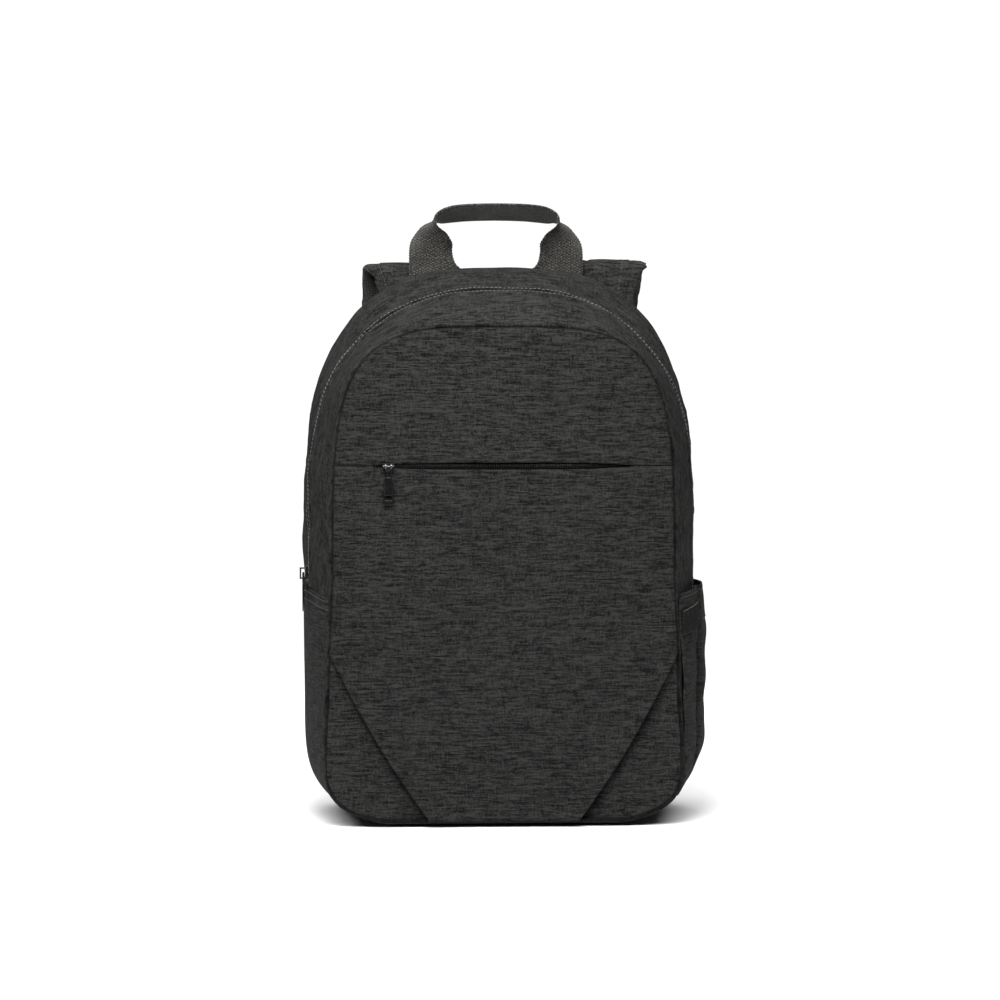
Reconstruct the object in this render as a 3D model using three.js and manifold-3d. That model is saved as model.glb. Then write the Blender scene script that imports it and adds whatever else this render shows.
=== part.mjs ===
// A laptop backpack standing upright on its flat bottom, in millimetres.
// +X is to the right seen from the front, +Y is towards the wearer's back, +Z is up.
// The origin is on the floor, under the middle of the bag.

import * as THREE from 'three';
import { mergeVertices } from 'three/addons/utils/BufferGeometryUtils.js';
import Module from 'manifold-3d';

const wasm = await Module();
wasm.setup();

// Driving dimensions of the bag
const bodyHeight = 421;
const bodyWidth = 302;
const backSeamY = 58;
const seamDepthBase = 130;
const seamDepthTop = 110;
const crownDepth = 9;
const crownPower = 2.4;
const clothWall = 2;
const backPadThick = 7;
const cornerRecess = 1.1;
const recessPower = 10;
const clearance = 0.3;
const seamGap = 0.35;

// Main zip
const zipShare = 0.64;
const zipLipGap = 6.4;
const zipEndAbovePocket = 4;
const zipRunOut = 12;
const zipTapeWidth = 18;
const zipTapeThick = 1.1;
const zipCoilWidth = 4.6;
const zipCoilThick = 2.2;

// Front pocket zip
const slitHeight = 271.5;
const slitEndInset = 27;
const slitOpening = 4.8;
const slitPower = 4;
const slitTapeWidth = 20;
const slitTapeThick = 1;
const slitTapeRunOut = 4;
const slitCoilWidth = 4.2;
const slitCoilThick = 1.5;

// Zip sliders and pullers
const frontSliderFromEnd = 14;
const sliderLength = 9;
const sliderWidth = 4;
const sliderThick = 1.2;
const mainSliderAboveEnd = 7;
const mainSliderWidth = 7;
const mainSliderLength = 12;
const mainPlateThick = 1.4;
const bridgeThick = 1.2;
const bridgeWidth = 2.2;
const bridgeLength = 9;
const bridgeRoom = 0.35;
const hingeRadius = 0.75;
const hingeClearance = 0.5;
const frontHingeStand = 3.8;
const frontPlateSink = 1.5;
const mainCoilOut = 0.9;
const mainPlateStand = 1.6;
const mainHingeStand = 5.2;
const pullerLength = 29;
const pullerWidth = 7.8;
const pullerThick = 1.6;
const pullerRail = 1.25;
const pullerEyeWall = 0.9;
const pullerRound = 1.2;
const pullerFoot = 3.4;
const pullerWindow = 4;
const pullerLegs = 8.5;
const pullerRails = 7.5;
const pullerLap = 0.6;

// Folded edges of the centre panel
const foldTopHeight = 130;
const foldFootX = 54;
const foldBow = 3;

// Side pockets and the webbing on the right one
const pocketWall = 1.4;
const pocketSeat = 0.8;
const pocketBase = 22;
const pocketTopRun = 0.3;
const pocketRightTop = { front: 174, rear: 178.5 };
const pocketLeftTop = { front: 172, rear: 177 };
const zipEndHeight = pocketLeftTop.rear + zipEndAbovePocket;
const mainSliderHeight = zipEndHeight + mainSliderAboveEnd;
const pocketRightBulge = 8.4;
const pocketLeftBulge = 0.8;
const bellowWebbingTop = 167;
const bellowWebbingHeight = 19;
const bellowWebbingThick = 1.1;
const bellowWebbingFall = 4.9;

// Carry handle
const handleWebbing = 34;
const handleThick = 2.4;
const handleHalfSpan = 51.5;
const handleRise = 45;

// Shoulder straps, buckles and lower webbings
const strapWidth = 58;
const strapPad = 9;
const strapSeamThick = 5;
const strapBow = 36;
const lowerWebbing = 25;
const lowerWebbingThick = 1.4;
const lowerAnchorHeight = 26;
const lowerAnchorShare = 0.76;
const lowerAnchorRun = 18;
const lowerLead = 6;
const lowerBow = 2;
const tailEndHeight = 72;
const tailFall = 12;
const tailStand = 1.5;
const buckleBar = 3;
const buckleHeight = 30;
const buckleSide = 4;
const buckleSideRoom = 0.7;
const tabDrop = 9;
const barClearance = 0.45;

// Cross sections of the bag from the back seam to the front seam. Depth is a share of the seam depth, half of
// half the width, crest and shoulder of the height. The power arch rounds the corners above the shoulder.
const archSections = [
  { depth: 0.0, half: 0.945, crest: 0.983, shoulder: 0.53, arch: 2.9 },
  { depth: 0.12, half: 0.985, crest: 0.996, shoulder: 0.515, arch: 2.85 },
  { depth: 0.34, half: 1.0, crest: 1.0, shoulder: 0.51, arch: 2.85 },
  { depth: 0.64, half: 0.97, crest: 0.96, shoulder: 0.568, arch: 2.45 },
  { depth: 0.84, half: 0.925, crest: 0.932, shoulder: 0.52, arch: 2.9 },
  { depth: 1.0, half: 0.8545, crest: 0.893, shoulder: 0.451, arch: 4.0 },
];
// The lower part of the same sections: hip is a share of the section's own half width, hipTop and lift of the
// height. The power base rounds the bottom corners, and lift is how far the bottom stands off the floor.
const baseSections = [
  { depth: 0.0, hip: 0.975, hipTop: 0.22, base: 3.8, lift: 0.008 },
  { depth: 0.12, hip: 0.985, hipTop: 0.22, base: 3.8, lift: 0.001 },
  { depth: 0.34, hip: 0.99, hipTop: 0.215, base: 3.75, lift: 0.0 },
  { depth: 0.64, hip: 0.99, hipTop: 0.2, base: 3.7, lift: 0.0 },
  { depth: 0.84, hip: 1.0, hipTop: 0.17, base: 3.6, lift: 0.002 },
  { depth: 1.0, hip: 1.046, hipTop: 0.143, base: 3.4, lift: 0.008 },
];
const archPoints = 14;
const basePoints = 8;
const baseSink = 1.012;

// Side pocket sheets from the front seam to the rear: depth is a share of the seam depth, out of the bulge.
const pocketRightFolds = [
  { depth: 0.985, out: 0.03 },
  { depth: 0.93, out: 0.2 },
  { depth: 0.86, out: 0.34 },
  { depth: 0.79, out: 0.45 },
  { depth: 0.73, out: 0.46 },
  { depth: 0.7, out: 0.12 },
  { depth: 0.67, out: 0.72 },
  { depth: 0.61, out: 0.95 },
  { depth: 0.48, out: 1.0 },
  { depth: 0.34, out: 0.92 },
  { depth: 0.2, out: 0.6 },
  { depth: 0.06, out: 0.05 },
];
const pocketLeftFolds = [
  { depth: 0.985, out: 0.1 },
  { depth: 0.85, out: 0.6 },
  { depth: 0.64, out: 1.0 },
  { depth: 0.4, out: 1.0 },
  { depth: 0.2, out: 0.7 },
  { depth: 0.06, out: 0.1 },
];
// How far the bulge shows at each share of the pocket's height
const pocketRises = [
  { rise: 0.0, out: 0.05 },
  { rise: 0.1, out: 0.55 },
  { rise: 0.25, out: 0.9 },
  { rise: 0.5, out: 1.0 },
  { rise: 0.75, out: 0.97 },
  { rise: 0.92, out: 0.8 },
  { rise: 1.0, out: 0.62 },
];

// Middle line of the handle from its sewn foot to the top: across is a share of the half span, rise of the rise
// above the bag, and turn is how far the webbing has twisted about that line, in degrees.
const handleRows = [
  { across: 1.0, rise: -0.48, turn: 0 },
  { across: 1.0, rise: 0.1, turn: 0 },
  { across: 1.0, rise: 0.34, turn: 8 },
  { across: 1.0, rise: 0.52, turn: 30 },
  { across: 0.995, rise: 0.695, turn: 60 },
  { across: 0.96, rise: 0.81, turn: 86 },
  { across: 0.89, rise: 0.91, turn: 102 },
  { across: 0.74, rise: 0.985, turn: 109 },
  { across: 0.5, rise: 1.0, turn: 110 },
  { across: 0.25, rise: 1.01, turn: 110 },
  { across: 0.0, rise: 1.015, turn: 110 },
];

// Middle line of each padded strap: across is a share of half the width, back of the bow behind the back panel,
// rise of the height, width and pad of the strap's own width and pad.
const strapLeftRows = [
  { across: 0.5, back: 0.0, rise: 0.925, width: 0.98, pad: 0.5 },
  { across: 0.5, back: 0.0, rise: 0.965, width: 0.98, pad: 0.5 },
  { across: 0.501, back: 0.06, rise: 0.992, width: 0.98, pad: 0.55 },
  { across: 0.502, back: 0.22, rise: 1.005, width: 0.98, pad: 0.65 },
  { across: 0.503, back: 0.45, rise: 1.004, width: 0.99, pad: 0.8 },
  { across: 0.506, back: 0.68, rise: 0.985, width: 1.0, pad: 0.95 },
  { across: 0.512, back: 0.84, rise: 0.945, width: 1.0, pad: 1.0 },
  { across: 0.53, back: 0.95, rise: 0.88, width: 1.0, pad: 1.0 },
  { across: 0.57, back: 1.0, rise: 0.8, width: 1.0, pad: 1.0 },
  { across: 0.62, back: 0.95, rise: 0.7, width: 0.98, pad: 1.0 },
  { across: 0.655, back: 0.8, rise: 0.6, width: 0.93, pad: 1.0 },
  { across: 0.67, back: 0.6, rise: 0.51, width: 0.86, pad: 0.95 },
  { across: 0.67, back: 0.46, rise: 0.45, width: 0.78, pad: 0.85 },
  { across: 0.67, back: 0.4, rise: 0.399, width: 0.62, pad: 0.5 },
];
// The right strap stands a little higher and further out at its top than the left one.
const strapRightShift = { across: 0.08, rise: 0.011 };
const shiftedRows = 8;
// Corners of a padded strap's section, as shares of half its width and half its thickness.
const padCorners = [
  [-1, -0.32], [-0.88, -1], [0, -1.1], [0.88, -1], [1, -0.32],
  [1, 0.32], [0.88, 1], [0, 1.1], [-0.88, 1], [-1, 0.32],
];
const flatCorners = [[-1, -1], [1, -1], [1, 1], [-1, 1]];

// Small helpers for numbers and tables
function mix(a, b, t) {
  return a + (b - a) * t;
}

// Smooth value of one column of a table, read at a key.
function readTable(rows, keyName, columnName, key) {
  const order = rows[0][keyName] < rows[rows.length - 1][keyName] ? 1 : -1;
  let i = 0;
  while (i < rows.length - 2 && (key - rows[i + 1][keyName]) * order > 0) {
    i += 1;
  }
  const a = rows[i];
  const b = rows[i + 1];
  const before = rows[Math.max(i - 1, 0)];
  const after = rows[Math.min(i + 2, rows.length - 1)];
  const span = b[keyName] - a[keyName];
  const t = Math.min(Math.max((key - a[keyName]) / span, 0), 1);
  const slopeA = (b[columnName] - before[columnName]) / (b[keyName] - before[keyName]);
  const slopeB = (after[columnName] - a[columnName]) / (after[keyName] - a[keyName]);
  const t2 = t * t;
  const t3 = t2 * t;
  const start = (2 * t3 - 3 * t2 + 1) * a[columnName] + (t3 - 2 * t2 + t) * slopeA * span;
  return start + (3 * t2 - 2 * t3) * b[columnName] + (t3 - t2) * slopeB * span;
}

// One cross section of the bag in real sizes.
function sectionAt(depth) {
  const upper = (name) => readTable(archSections, 'depth', name, depth);
  const lower = (name) => readTable(baseSections, 'depth', name, depth);
  const half = upper('half') * bodyWidth / 2;
  return {
    half,
    crest: upper('crest') * bodyHeight,
    shoulder: upper('shoulder') * bodyHeight,
    arch: upper('arch'),
    hip: half * lower('hip'),
    hipTop: lower('hipTop') * bodyHeight,
    base: lower('base'),
    lift: Math.max(lower('lift'), 0) * bodyHeight,
  };
}

// Half outline of a section from the bottom centre up the +X side to the crest.
function halfOutline(s) {
  const points = [];
  for (let i = 0; i < basePoints; i += 1) {
    const a = (Math.PI / 2) * (1 - i / basePoints);
    const x = s.hip * Math.cos(a) ** (2 / s.base);
    const z = s.hipTop - s.hipTop * baseSink * Math.sin(a) ** (2 / s.base);
    points.push([i === 0 ? 0 : x, Math.max(z, s.lift)]);
  }
  const runOut = zipEndHeight - zipRunOut;
  const belowZip = (s.hipTop + runOut) / 2;
  const aboveZip = (zipEndHeight + s.shoulder) / 2;
  for (const z of [s.hipTop, belowZip, runOut, zipEndHeight, aboveZip]) {
    points.push([mix(s.hip, s.half, (z - s.hipTop) / (s.shoulder - s.hipTop)), z]);
  }
  for (let i = 0; i <= archPoints; i += 1) {
    const a = (Math.PI / 2) * (i / archPoints);
    const x = i === archPoints ? 0 : s.half * Math.cos(a) ** (2 / s.arch);
    points.push([x, mix(s.shoulder, s.crest, Math.sin(a) ** (2 / s.arch))]);
  }
  return points;
}

// Whole outline, counter-clockwise seen from the front, starting at the bottom centre.
function outline(s) {
  const right = halfOutline(s);
  const left = right.slice(1, -1).reverse().map(([x, z]) => [-x, z]);
  return right.concat(left);
}

// Half width of a section at a height.
function halfWidthAt(s, z) {
  if (z > s.shoulder) {
    const t = Math.min((z - s.shoulder) / (s.crest - s.shoulder), 1);
    return s.half * (1 - t ** s.arch) ** (1 / s.arch);
  }
  if (z < s.hipTop) {
    const t = Math.min((s.hipTop - z) / (s.hipTop * baseSink), 1);
    return s.hip * (1 - t ** s.base) ** (1 / s.base);
  }
  return mix(s.hip, s.half, (z - s.hipTop) / (s.shoulder - s.hipTop));
}

// Place along Y of a share of the seam depth, at a height.
function depthToY(depth, z) {
  return backSeamY - depth * mix(seamDepthBase, seamDepthTop, z / bodyHeight);
}

// Share of the seam depth that a distance along Y covers, at a height.
function lengthToDepth(length, z) {
  return length / mix(seamDepthBase, seamDepthTop, z / bodyHeight);
}

// Outward unit normals of a closed outline.
function outlineNormals(points) {
  return points.map((_, i) => {
    const a = points[(i + points.length - 1) % points.length];
    const b = points[(i + 1) % points.length];
    const d = Math.hypot(b[0] - a[0], b[1] - a[1]);
    return [(b[1] - a[1]) / d, -(b[0] - a[0]) / d];
  });
}

// Geometry from a list of points and a list of faces, each with three or four corners.
function geometryFrom(points, faces) {
  const positions = [];
  for (const face of faces) {
    for (let k = 1; k < face.length - 1; k += 1) {
      for (const index of [face[0], face[k], face[k + 1]]) {
        positions.push(...points[index]);
      }
    }
  }
  const geometry = new THREE.BufferGeometry();
  geometry.setAttribute('position', new THREE.Float32BufferAttribute(positions, 3));
  const merged = mergeVertices(geometry, 1e-4);
  merged.computeVertexNormals();
  return merged;
}

// Closed solid lofted through rings of points that all have the same number of points.
function loft(rings, { closedPath = false } = {}) {
  const points = rings.flat();
  const count = rings[0].length;
  const faces = [];
  const last = closedPath ? rings.length : rings.length - 1;
  for (let r = 0; r < last; r += 1) {
    const next = (r + 1) % rings.length;
    for (let i = 0; i < count; i += 1) {
      const j = (i + 1) % count;
      faces.push([r * count + i, r * count + j, next * count + j, next * count + i]);
    }
  }
  if (!closedPath) {
    const end = (rings.length - 1) * count;
    for (let k = 1; k < count - 1; k += 1) {
      faces.push([0, k + 1, k]);
      faces.push([end, end + k, end + k + 1]);
    }
  }
  return geometryFrom(points, faces);
}

// Closed sheet with two faces given as equal grids of points, the first one outward.
function sheet(outer, inner) {
  const rows = outer.length;
  const columns = outer[0].length;
  const points = outer.flat().concat(inner.flat());
  const at = (r, c) => r * columns + c;
  const under = (r, c) => rows * columns + r * columns + c;
  const faces = [];
  for (let r = 0; r < rows - 1; r += 1) {
    for (let c = 0; c < columns - 1; c += 1) {
      faces.push([at(r, c), at(r, c + 1), at(r + 1, c + 1), at(r + 1, c)]);
      faces.push([under(r, c), under(r + 1, c), under(r + 1, c + 1), under(r, c + 1)]);
    }
  }
  for (let r = 0; r < rows - 1; r += 1) {
    faces.push([at(r, 0), at(r + 1, 0), under(r + 1, 0), under(r, 0)]);
    const end = columns - 1;
    faces.push([at(r + 1, end), at(r, end), under(r, end), under(r + 1, end)]);
  }
  for (let c = 0; c < columns - 1; c += 1) {
    const end = rows - 1;
    faces.push([at(0, c + 1), at(0, c), under(0, c), under(0, c + 1)]);
    faces.push([at(end, c), at(end, c + 1), under(end, c + 1), under(end, c)]);
  }
  return geometryFrom(points, faces);
}

// Signed volume of a closed geometry, to turn its faces outward where a builder wound them the other way.
function signedVolume(geometry) {
  const p = geometry.getAttribute('position');
  const index = geometry.getIndex();
  const a = new THREE.Vector3();
  const b = new THREE.Vector3();
  const c = new THREE.Vector3();
  let volume = 0;
  for (let i = 0; i < index.count; i += 3) {
    a.fromBufferAttribute(p, index.getX(i));
    b.fromBufferAttribute(p, index.getX(i + 1));
    c.fromBufferAttribute(p, index.getX(i + 2));
    volume += a.dot(b.cross(c)) / 6;
  }
  return volume;
}

function faceOutward(geometry) {
  if (signedVolume(geometry) < 0) {
    const index = geometry.getIndex();
    for (let i = 0; i < index.count; i += 3) {
      const first = index.getX(i);
      index.setX(i, index.getX(i + 1));
      index.setX(i + 1, first);
    }
    geometry.computeVertexNormals();
  }
  return geometry;
}

// Booleans
function toManifold(geometry) {
  const copy = geometry.clone();
  copy.deleteAttribute('normal');
  copy.deleteAttribute('uv');
  const merged = faceOutward(mergeVertices(copy, 1e-4));
  const vertProperties = new Float32Array(merged.getAttribute('position').array);
  const triVerts = new Uint32Array(merged.getIndex().array);
  return new wasm.Manifold(new wasm.Mesh({ numProp: 3, vertProperties, triVerts }));
}

function toGeometry(manifold) {
  const mesh = manifold.getMesh();
  const geometry = new THREE.BufferGeometry();
  geometry.setAttribute('position', new THREE.Float32BufferAttribute(mesh.vertProperties, 3));
  geometry.setIndex(new THREE.Uint32BufferAttribute(mesh.triVerts, 1));
  geometry.computeVertexNormals();
  return geometry;
}

// Straight prism along Y through the whole bag, from an outline of X and Z.
function prismAlongY(points) {
  const shape = new THREE.Shape(points.map(([x, z]) => new THREE.Vector2(x, z)));
  const length = bodyWidth * 2;
  const geometry = new THREE.ExtrudeGeometry(shape, { depth: length, bevelEnabled: false });
  geometry.rotateX(Math.PI / 2);
  geometry.translate(0, length / 2, 0);
  return toManifold(geometry);
}

function boxAt(sizeX, sizeY, sizeZ, x, y, z) {
  const geometry = new THREE.BoxGeometry(sizeX, sizeY, sizeZ);
  geometry.translate(x, y, z);
  return geometry;
}

function cylinderAlongX(radius, length, x, y, z) {
  const geometry = new THREE.CylinderGeometry(radius, radius, length, 12);
  geometry.rotateZ(Math.PI / 2);
  geometry.translate(x, y, z);
  return geometry;
}

function join(...geometries) {
  return toGeometry(geometries.map(toManifold).reduce((whole, next) => whole.add(next)));
}

// Materials, one for each finish
const finishes = {
  shell: { color: 0x343434, roughness: 0.92, metalness: 0 },
  shade: { color: 0x2b2b2a, roughness: 0.94, metalness: 0 },
  webbing: { color: 0x2f2f2b, roughness: 0.9, metalness: 0 },
  padding: { color: 0x2a2a2a, roughness: 0.95, metalness: 0 },
  tape: { color: 0x16150f, roughness: 0.8, metalness: 0 },
  coil: { color: 0x1c1b16, roughness: 0.45, metalness: 0 },
  metal: { color: 0x171714, roughness: 0.3, metalness: 0.8 },
  plastic: { color: 0x161616, roughness: 0.5, metalness: 0 },
};

const backpack = new THREE.Group();

function addPiece(name, geometry, finish) {
  const material = new THREE.MeshStandardMaterial(finishes[finish]);
  const mesh = new THREE.Mesh(faceOutward(geometry), material);
  mesh.name = name;
  backpack.add(mesh);
  return mesh;
}

// Shell rings

// Ring of the bag between two shares of the seam depth, each of which may change with the height.
function shellRing(startAt, endAt, steps) {
  const template = outline(sectionAt(zipShare));
  const outer = [];
  const inner = [];
  for (let k = 0; k <= steps; k += 1) {
    const t = k / steps;
    const outerRing = [];
    const innerRing = [];
    for (let i = 0; i < template.length; i += 1) {
      const depth = mix(startAt(template[i][1]), endAt(template[i][1]), t);
      const points = outline(sectionAt(depth));
      const normal = outlineNormals(points)[i];
      const [x, z] = points[i];
      const y = depthToY(depth, z);
      const innerX = x - normal[0] * clothWall;
      const innerZ = z - normal[1] * clothWall;
      outerRing.push([x, y, z]);
      innerRing.push([innerX, y, innerZ]);
    }
    outer.push(outerRing);
    inner.push(innerRing);
  }
  return loft(outer.concat(inner.reverse()), { closedPath: true });
}

// Half of the gap between the two gussets at a height: open along the zip, a closed seam below its ends.
function lipHalfGap(z) {
  const open = Math.min(Math.max((z - zipEndHeight) / zipRunOut + 1, 0), 1);
  return mix(clearance, zipLipGap, open) / 2;
}

function rearGusset() {
  const end = (z) => zipShare - lengthToDepth(lipHalfGap(z), z);
  return shellRing(() => 0, end, 6);
}

function frontGusset() {
  const start = (z) => zipShare + lengthToDepth(lipHalfGap(z), z);
  return shellRing(start, () => 1, 4);
}

// Main zip

// Strip of the zip arch, from its left end over the top to its right end.
function zipStrip(width, thick, outside) {
  const ring = outline(sectionAt(zipShare));
  const low = ring.findIndex(([, z]) => z >= zipEndHeight);
  const outer = [];
  const inner = [];
  for (let i = low; i <= ring.length - low; i += 1) {
    const outerRow = [];
    const innerRow = [];
    for (const side of [-1, 0, 1]) {
      const points = outline(sectionAt(zipShare + lengthToDepth(side * width / 2, ring[i][1])));
      const [x, z] = points[i];
      const normal = outlineNormals(points)[i];
      const y = depthToY(zipShare, z) - side * width / 2;
      const far = outside - thick;
      outerRow.push([x + normal[0] * outside, y, z + normal[1] * outside]);
      innerRow.push([x + normal[0] * far, y, z + normal[1] * far]);
    }
    outer.push(outerRow);
    inner.push(innerRow);
  }
  return sheet(outer, inner);
}

// Front panels

const frontSection = sectionAt(1);
const frontCentreZ = frontSection.crest * 0.5;
const slitHalfLength = halfWidthAt(frontSection, slitHeight) - slitEndInset;
const frontSliderX = -(slitHalfLength - frontSliderFromEnd);

// How far a point of the front lies from the centre, as a share of the way to the seam.
function frontShare(x, z) {
  let low = 0;
  let high = 40;
  for (let k = 0; k < 40; k += 1) {
    const s = (low + high) / 2;
    const zz = frontCentreZ + (z - frontCentreZ) * s;
    const inside = zz > frontSection.lift && zz < frontSection.crest
      && Math.abs(x) * s < halfWidthAt(frontSection, zz);
    if (inside) {
      low = s;
    } else {
      high = s;
    }
  }
  return 1 / low;
}

// Outer surface of the front at a share of the way to the seam.
function frontSurfaceY(share, z) {
  const rim = depthToY(1, z) - clearance - clothWall;
  return rim - crownDepth * (1 - Math.min(share, 1) ** crownPower);
}

// Whole front panel as one crowned disk, pushed inward by a recess that ends at the seam.
function frontDisk(recess) {
  const rim = outline(frontSection);
  const shares = [1, 0.965, 0.9, 0.8, 0.66, 0.5, 0.33, 0.16];
  const points = [];
  for (const inner of [false, true]) {
    for (const share of shares) {
      for (const [x, z] of rim) {
        const px = x * share;
        const pz = mix(frontCentreZ, z, share);
        const y = frontSurfaceY(share, pz) + recess * (1 - share ** recessPower);
        points.push([px, inner ? y + clothWall : y, pz]);
      }
    }
    const middle = frontSurfaceY(0, frontCentreZ) + recess;
    points.push([0, inner ? middle + clothWall : middle, frontCentreZ]);
  }
  const count = rim.length;
  const half = shares.length * count + 1;
  const faces = [];
  for (let i = 0; i < count; i += 1) {
    const j = (i + 1) % count;
    for (let k = 0; k < shares.length - 1; k += 1) {
      const a = k * count;
      const b = a + count;
      faces.push([a + i, a + j, b + j, b + i]);
      faces.push([half + a + j, half + a + i, half + b + i, half + b + j]);
    }
    const c = (shares.length - 1) * count;
    faces.push([c + i, c + j, half - 1]);
    faces.push([half + c + j, half + c + i, 2 * half - 1]);
    faces.push([i, half + i, half + j, j]);
  }
  return geometryFrom(points, faces);
}

// Half opening of the pocket slit at a place across the front.
function slitHalfOpening(x) {
  const t = Math.min(Math.abs(x) / slitHalfLength, 1);
  return Math.max(slitOpening / 2 * (1 - t ** slitPower), seamGap / 2);
}

// Region above or below the slit, out to well past the bag.
function slitRegion(side) {
  const far = bodyWidth;
  const steps = 24;
  const points = [[far, slitHeight + side * far * 2], [-far, slitHeight + side * far * 2]];
  points.push([-far, slitHeight - side * seamGap / 2]);
  for (let i = 0; i <= steps; i += 1) {
    const x = mix(-slitHalfLength, slitHalfLength, i / steps);
    points.push([x, slitHeight - side * slitHalfOpening(x)]);
  }
  points.push([far, slitHeight - side * seamGap / 2]);
  return prismAlongY(points);
}

// Slanted fold of the centre panel, from the side seam down to its foot at the bottom.
function foldLine(shift) {
  const topX = halfWidthAt(frontSection, foldTopHeight);
  const points = [];
  const over = 0.25;
  for (const t of [-over, 0, 0.2, 0.4, 0.6, 0.8, 1, 1 + over]) {
    const bow = foldBow * 4 * t * (1 - t);
    points.push([mix(foldFootX, topX, t) + bow + shift, foldTopHeight * t - bow / 2]);
  }
  return points;
}

function foldRegion(side, shift) {
  const line = foldLine(shift);
  const far = bodyWidth;
  const top = line[line.length - 1];
  const points = [...line, [far, top[1]], [far, line[0][1]]];
  return prismAlongY(points.map(([x, z]) => [side * x, z]));
}

// Room that the zip slider takes in the lips of the slit.
function sliderNotch() {
  const sizeX = sliderLength + 4 * clearance;
  const sizeZ = sliderWidth + 4 * clearance;
  return toManifold(boxAt(sizeX, bodyWidth, sizeZ, frontSliderX, -bodyWidth / 2, slitHeight));
}

function frontPanels() {
  const whole = toManifold(frontDisk(0)).subtract(sliderNotch());
  const recessed = toManifold(frontDisk(cornerRecess));
  const upper = whole.subtract(slitRegion(-1));
  const left = foldRegion(-1, -seamGap);
  const right = foldRegion(1, -seamGap);
  const lower = whole.subtract(slitRegion(1)).subtract(left).subtract(right);
  return {
    upper: toGeometry(upper),
    lower: toGeometry(lower),
    cornerLeft: toGeometry(recessed.intersect(foldRegion(-1, 0))),
    cornerRight: toGeometry(recessed.intersect(foldRegion(1, 0))),
  };
}

// Straight strip behind the slit, at a distance behind the inner surface of the front.
function slitStrip(halfLength, width, thick, behind) {
  const outer = [];
  const inner = [];
  const columns = 24;
  for (const side of [1, 0, -1]) {
    const outerRow = [];
    const innerRow = [];
    for (let i = 0; i <= columns; i += 1) {
      const x = mix(-halfLength, halfLength, i / columns);
      const z = slitHeight + side * width / 2;
      const y = frontSurfaceY(frontShare(x, z), z) + clothWall + behind;
      outerRow.push([x, y, z]);
      innerRow.push([x, y + thick, z]);
    }
    outer.push(outerRow);
    inner.push(innerRow);
  }
  return sheet(outer, inner);
}

// Zip sliders and pullers

// Puller that hangs below its hinge, thick along Y and wide along X, with an open window near its lower end.
function pullerPlate(topDrop) {
  const half = pullerWidth / 2;
  const neck = half - pullerRail * 0.35;
  const low = -pullerLength;
  const shape = new THREE.Shape();
  shape.moveTo(-neck, -topDrop);
  shape.lineTo(neck, -topDrop);
  shape.lineTo(half, low + pullerRound);
  shape.quadraticCurveTo(half, low, half - pullerRound, low);
  shape.lineTo(-half + pullerRound, low);
  shape.quadraticCurveTo(-half, low, -half, low + pullerRound);
  const window = new THREE.Path();
  const windowHalf = half - pullerRail;
  const windowLow = low + pullerFoot;
  window.moveTo(-windowHalf, windowLow);
  window.lineTo(windowHalf, windowLow);
  window.lineTo(windowHalf, windowLow + pullerWindow);
  window.lineTo(-windowHalf, windowLow + pullerWindow);
  shape.holes.push(window);
  const extrusion = { depth: pullerThick, bevelEnabled: false, curveSegments: 3 };
  const geometry = new THREE.ExtrudeGeometry(shape, extrusion);
  geometry.rotateX(Math.PI / 2);
  geometry.translate(0, pullerThick / 2, 0);
  return geometry;
}

// Front puller: two legs that end in eyes around the slider's bridge bar.
function frontPuller() {
  const eyeInner = hingeRadius + hingeClearance;
  const eyeOuter = eyeInner + pullerEyeWall;
  const legX = pullerWidth / 2 - pullerRail * 1.4;
  const legTop = eyeInner + pullerEyeWall / 2;
  const legFoot = pullerLegs + pullerLap;
  const legZ = -(legFoot + legTop) / 2;
  let whole = toManifold(pullerPlate(pullerLegs));
  for (const side of [-1, 1]) {
    const leg = boxAt(pullerRail, pullerThick, legFoot - legTop, side * legX, 0, legZ);
    const eye = toManifold(cylinderAlongX(eyeOuter, pullerRail, side * legX, 0, 0));
    const bore = toManifold(cylinderAlongX(eyeInner, pullerRail * 2, side * legX, 0, 0));
    whole = whole.add(toManifold(leg)).add(eye.subtract(bore));
  }
  return toGeometry(whole);
}

// Main puller: a window whose round top bar lies under the slider's bridge. Its hinge bar runs along X here.
function mainPuller() {
  const railX = pullerWidth / 2 - pullerRail;
  const railLength = pullerRails + pullerLap;
  let whole = toManifold(pullerPlate(pullerRails));
  for (const side of [-1, 1]) {
    const rail = boxAt(pullerRail, pullerThick, railLength, side * railX, 0, -railLength / 2);
    whole = whole.add(toManifold(rail));
  }
  const bar = cylinderAlongX(hingeRadius, 2 * railX + pullerRail, 0, 0, 0);
  return toGeometry(whole.add(toManifold(bar)));
}

// Where the slider sits on the front, and how far out its parts stand from the outer surface there.
const frontSliderSurface = frontSurfaceY(frontShare(frontSliderX, slitHeight), slitHeight);
const frontHingeY = frontSliderSurface - frontHingeStand;

function frontSlider() {
  const plateBack = frontSliderSurface + frontPlateSink;
  const plateY = plateBack - sliderThick / 2;
  const plate = boxAt(sliderLength, sliderThick, sliderWidth, frontSliderX, plateY, slitHeight);
  const postHalf = sliderLength / 2 - bridgeThick / 2;
  const postLength = plateBack - frontHingeY;
  const postY = (plateBack + frontHingeY) / 2;
  const posts = [-1, 1].map((side) => (
    boxAt(bridgeThick, postLength, hingeRadius * 2, frontSliderX + side * postHalf, postY, slitHeight)
  ));
  const bar = cylinderAlongX(hingeRadius, 2 * postHalf, frontSliderX, frontHingeY, slitHeight);
  return join(plate, ...posts, bar);
}

// Frame of the main slider on the left side of the bag: origin on the zip, out away from the bag.
const mainSliderSection = sectionAt(zipShare);
const mainSliderX = -halfWidthAt(mainSliderSection, mainSliderHeight);
const mainSliderY = depthToY(zipShare, mainSliderHeight);
const mainHingeX = mainSliderX - mainHingeStand;

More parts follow.
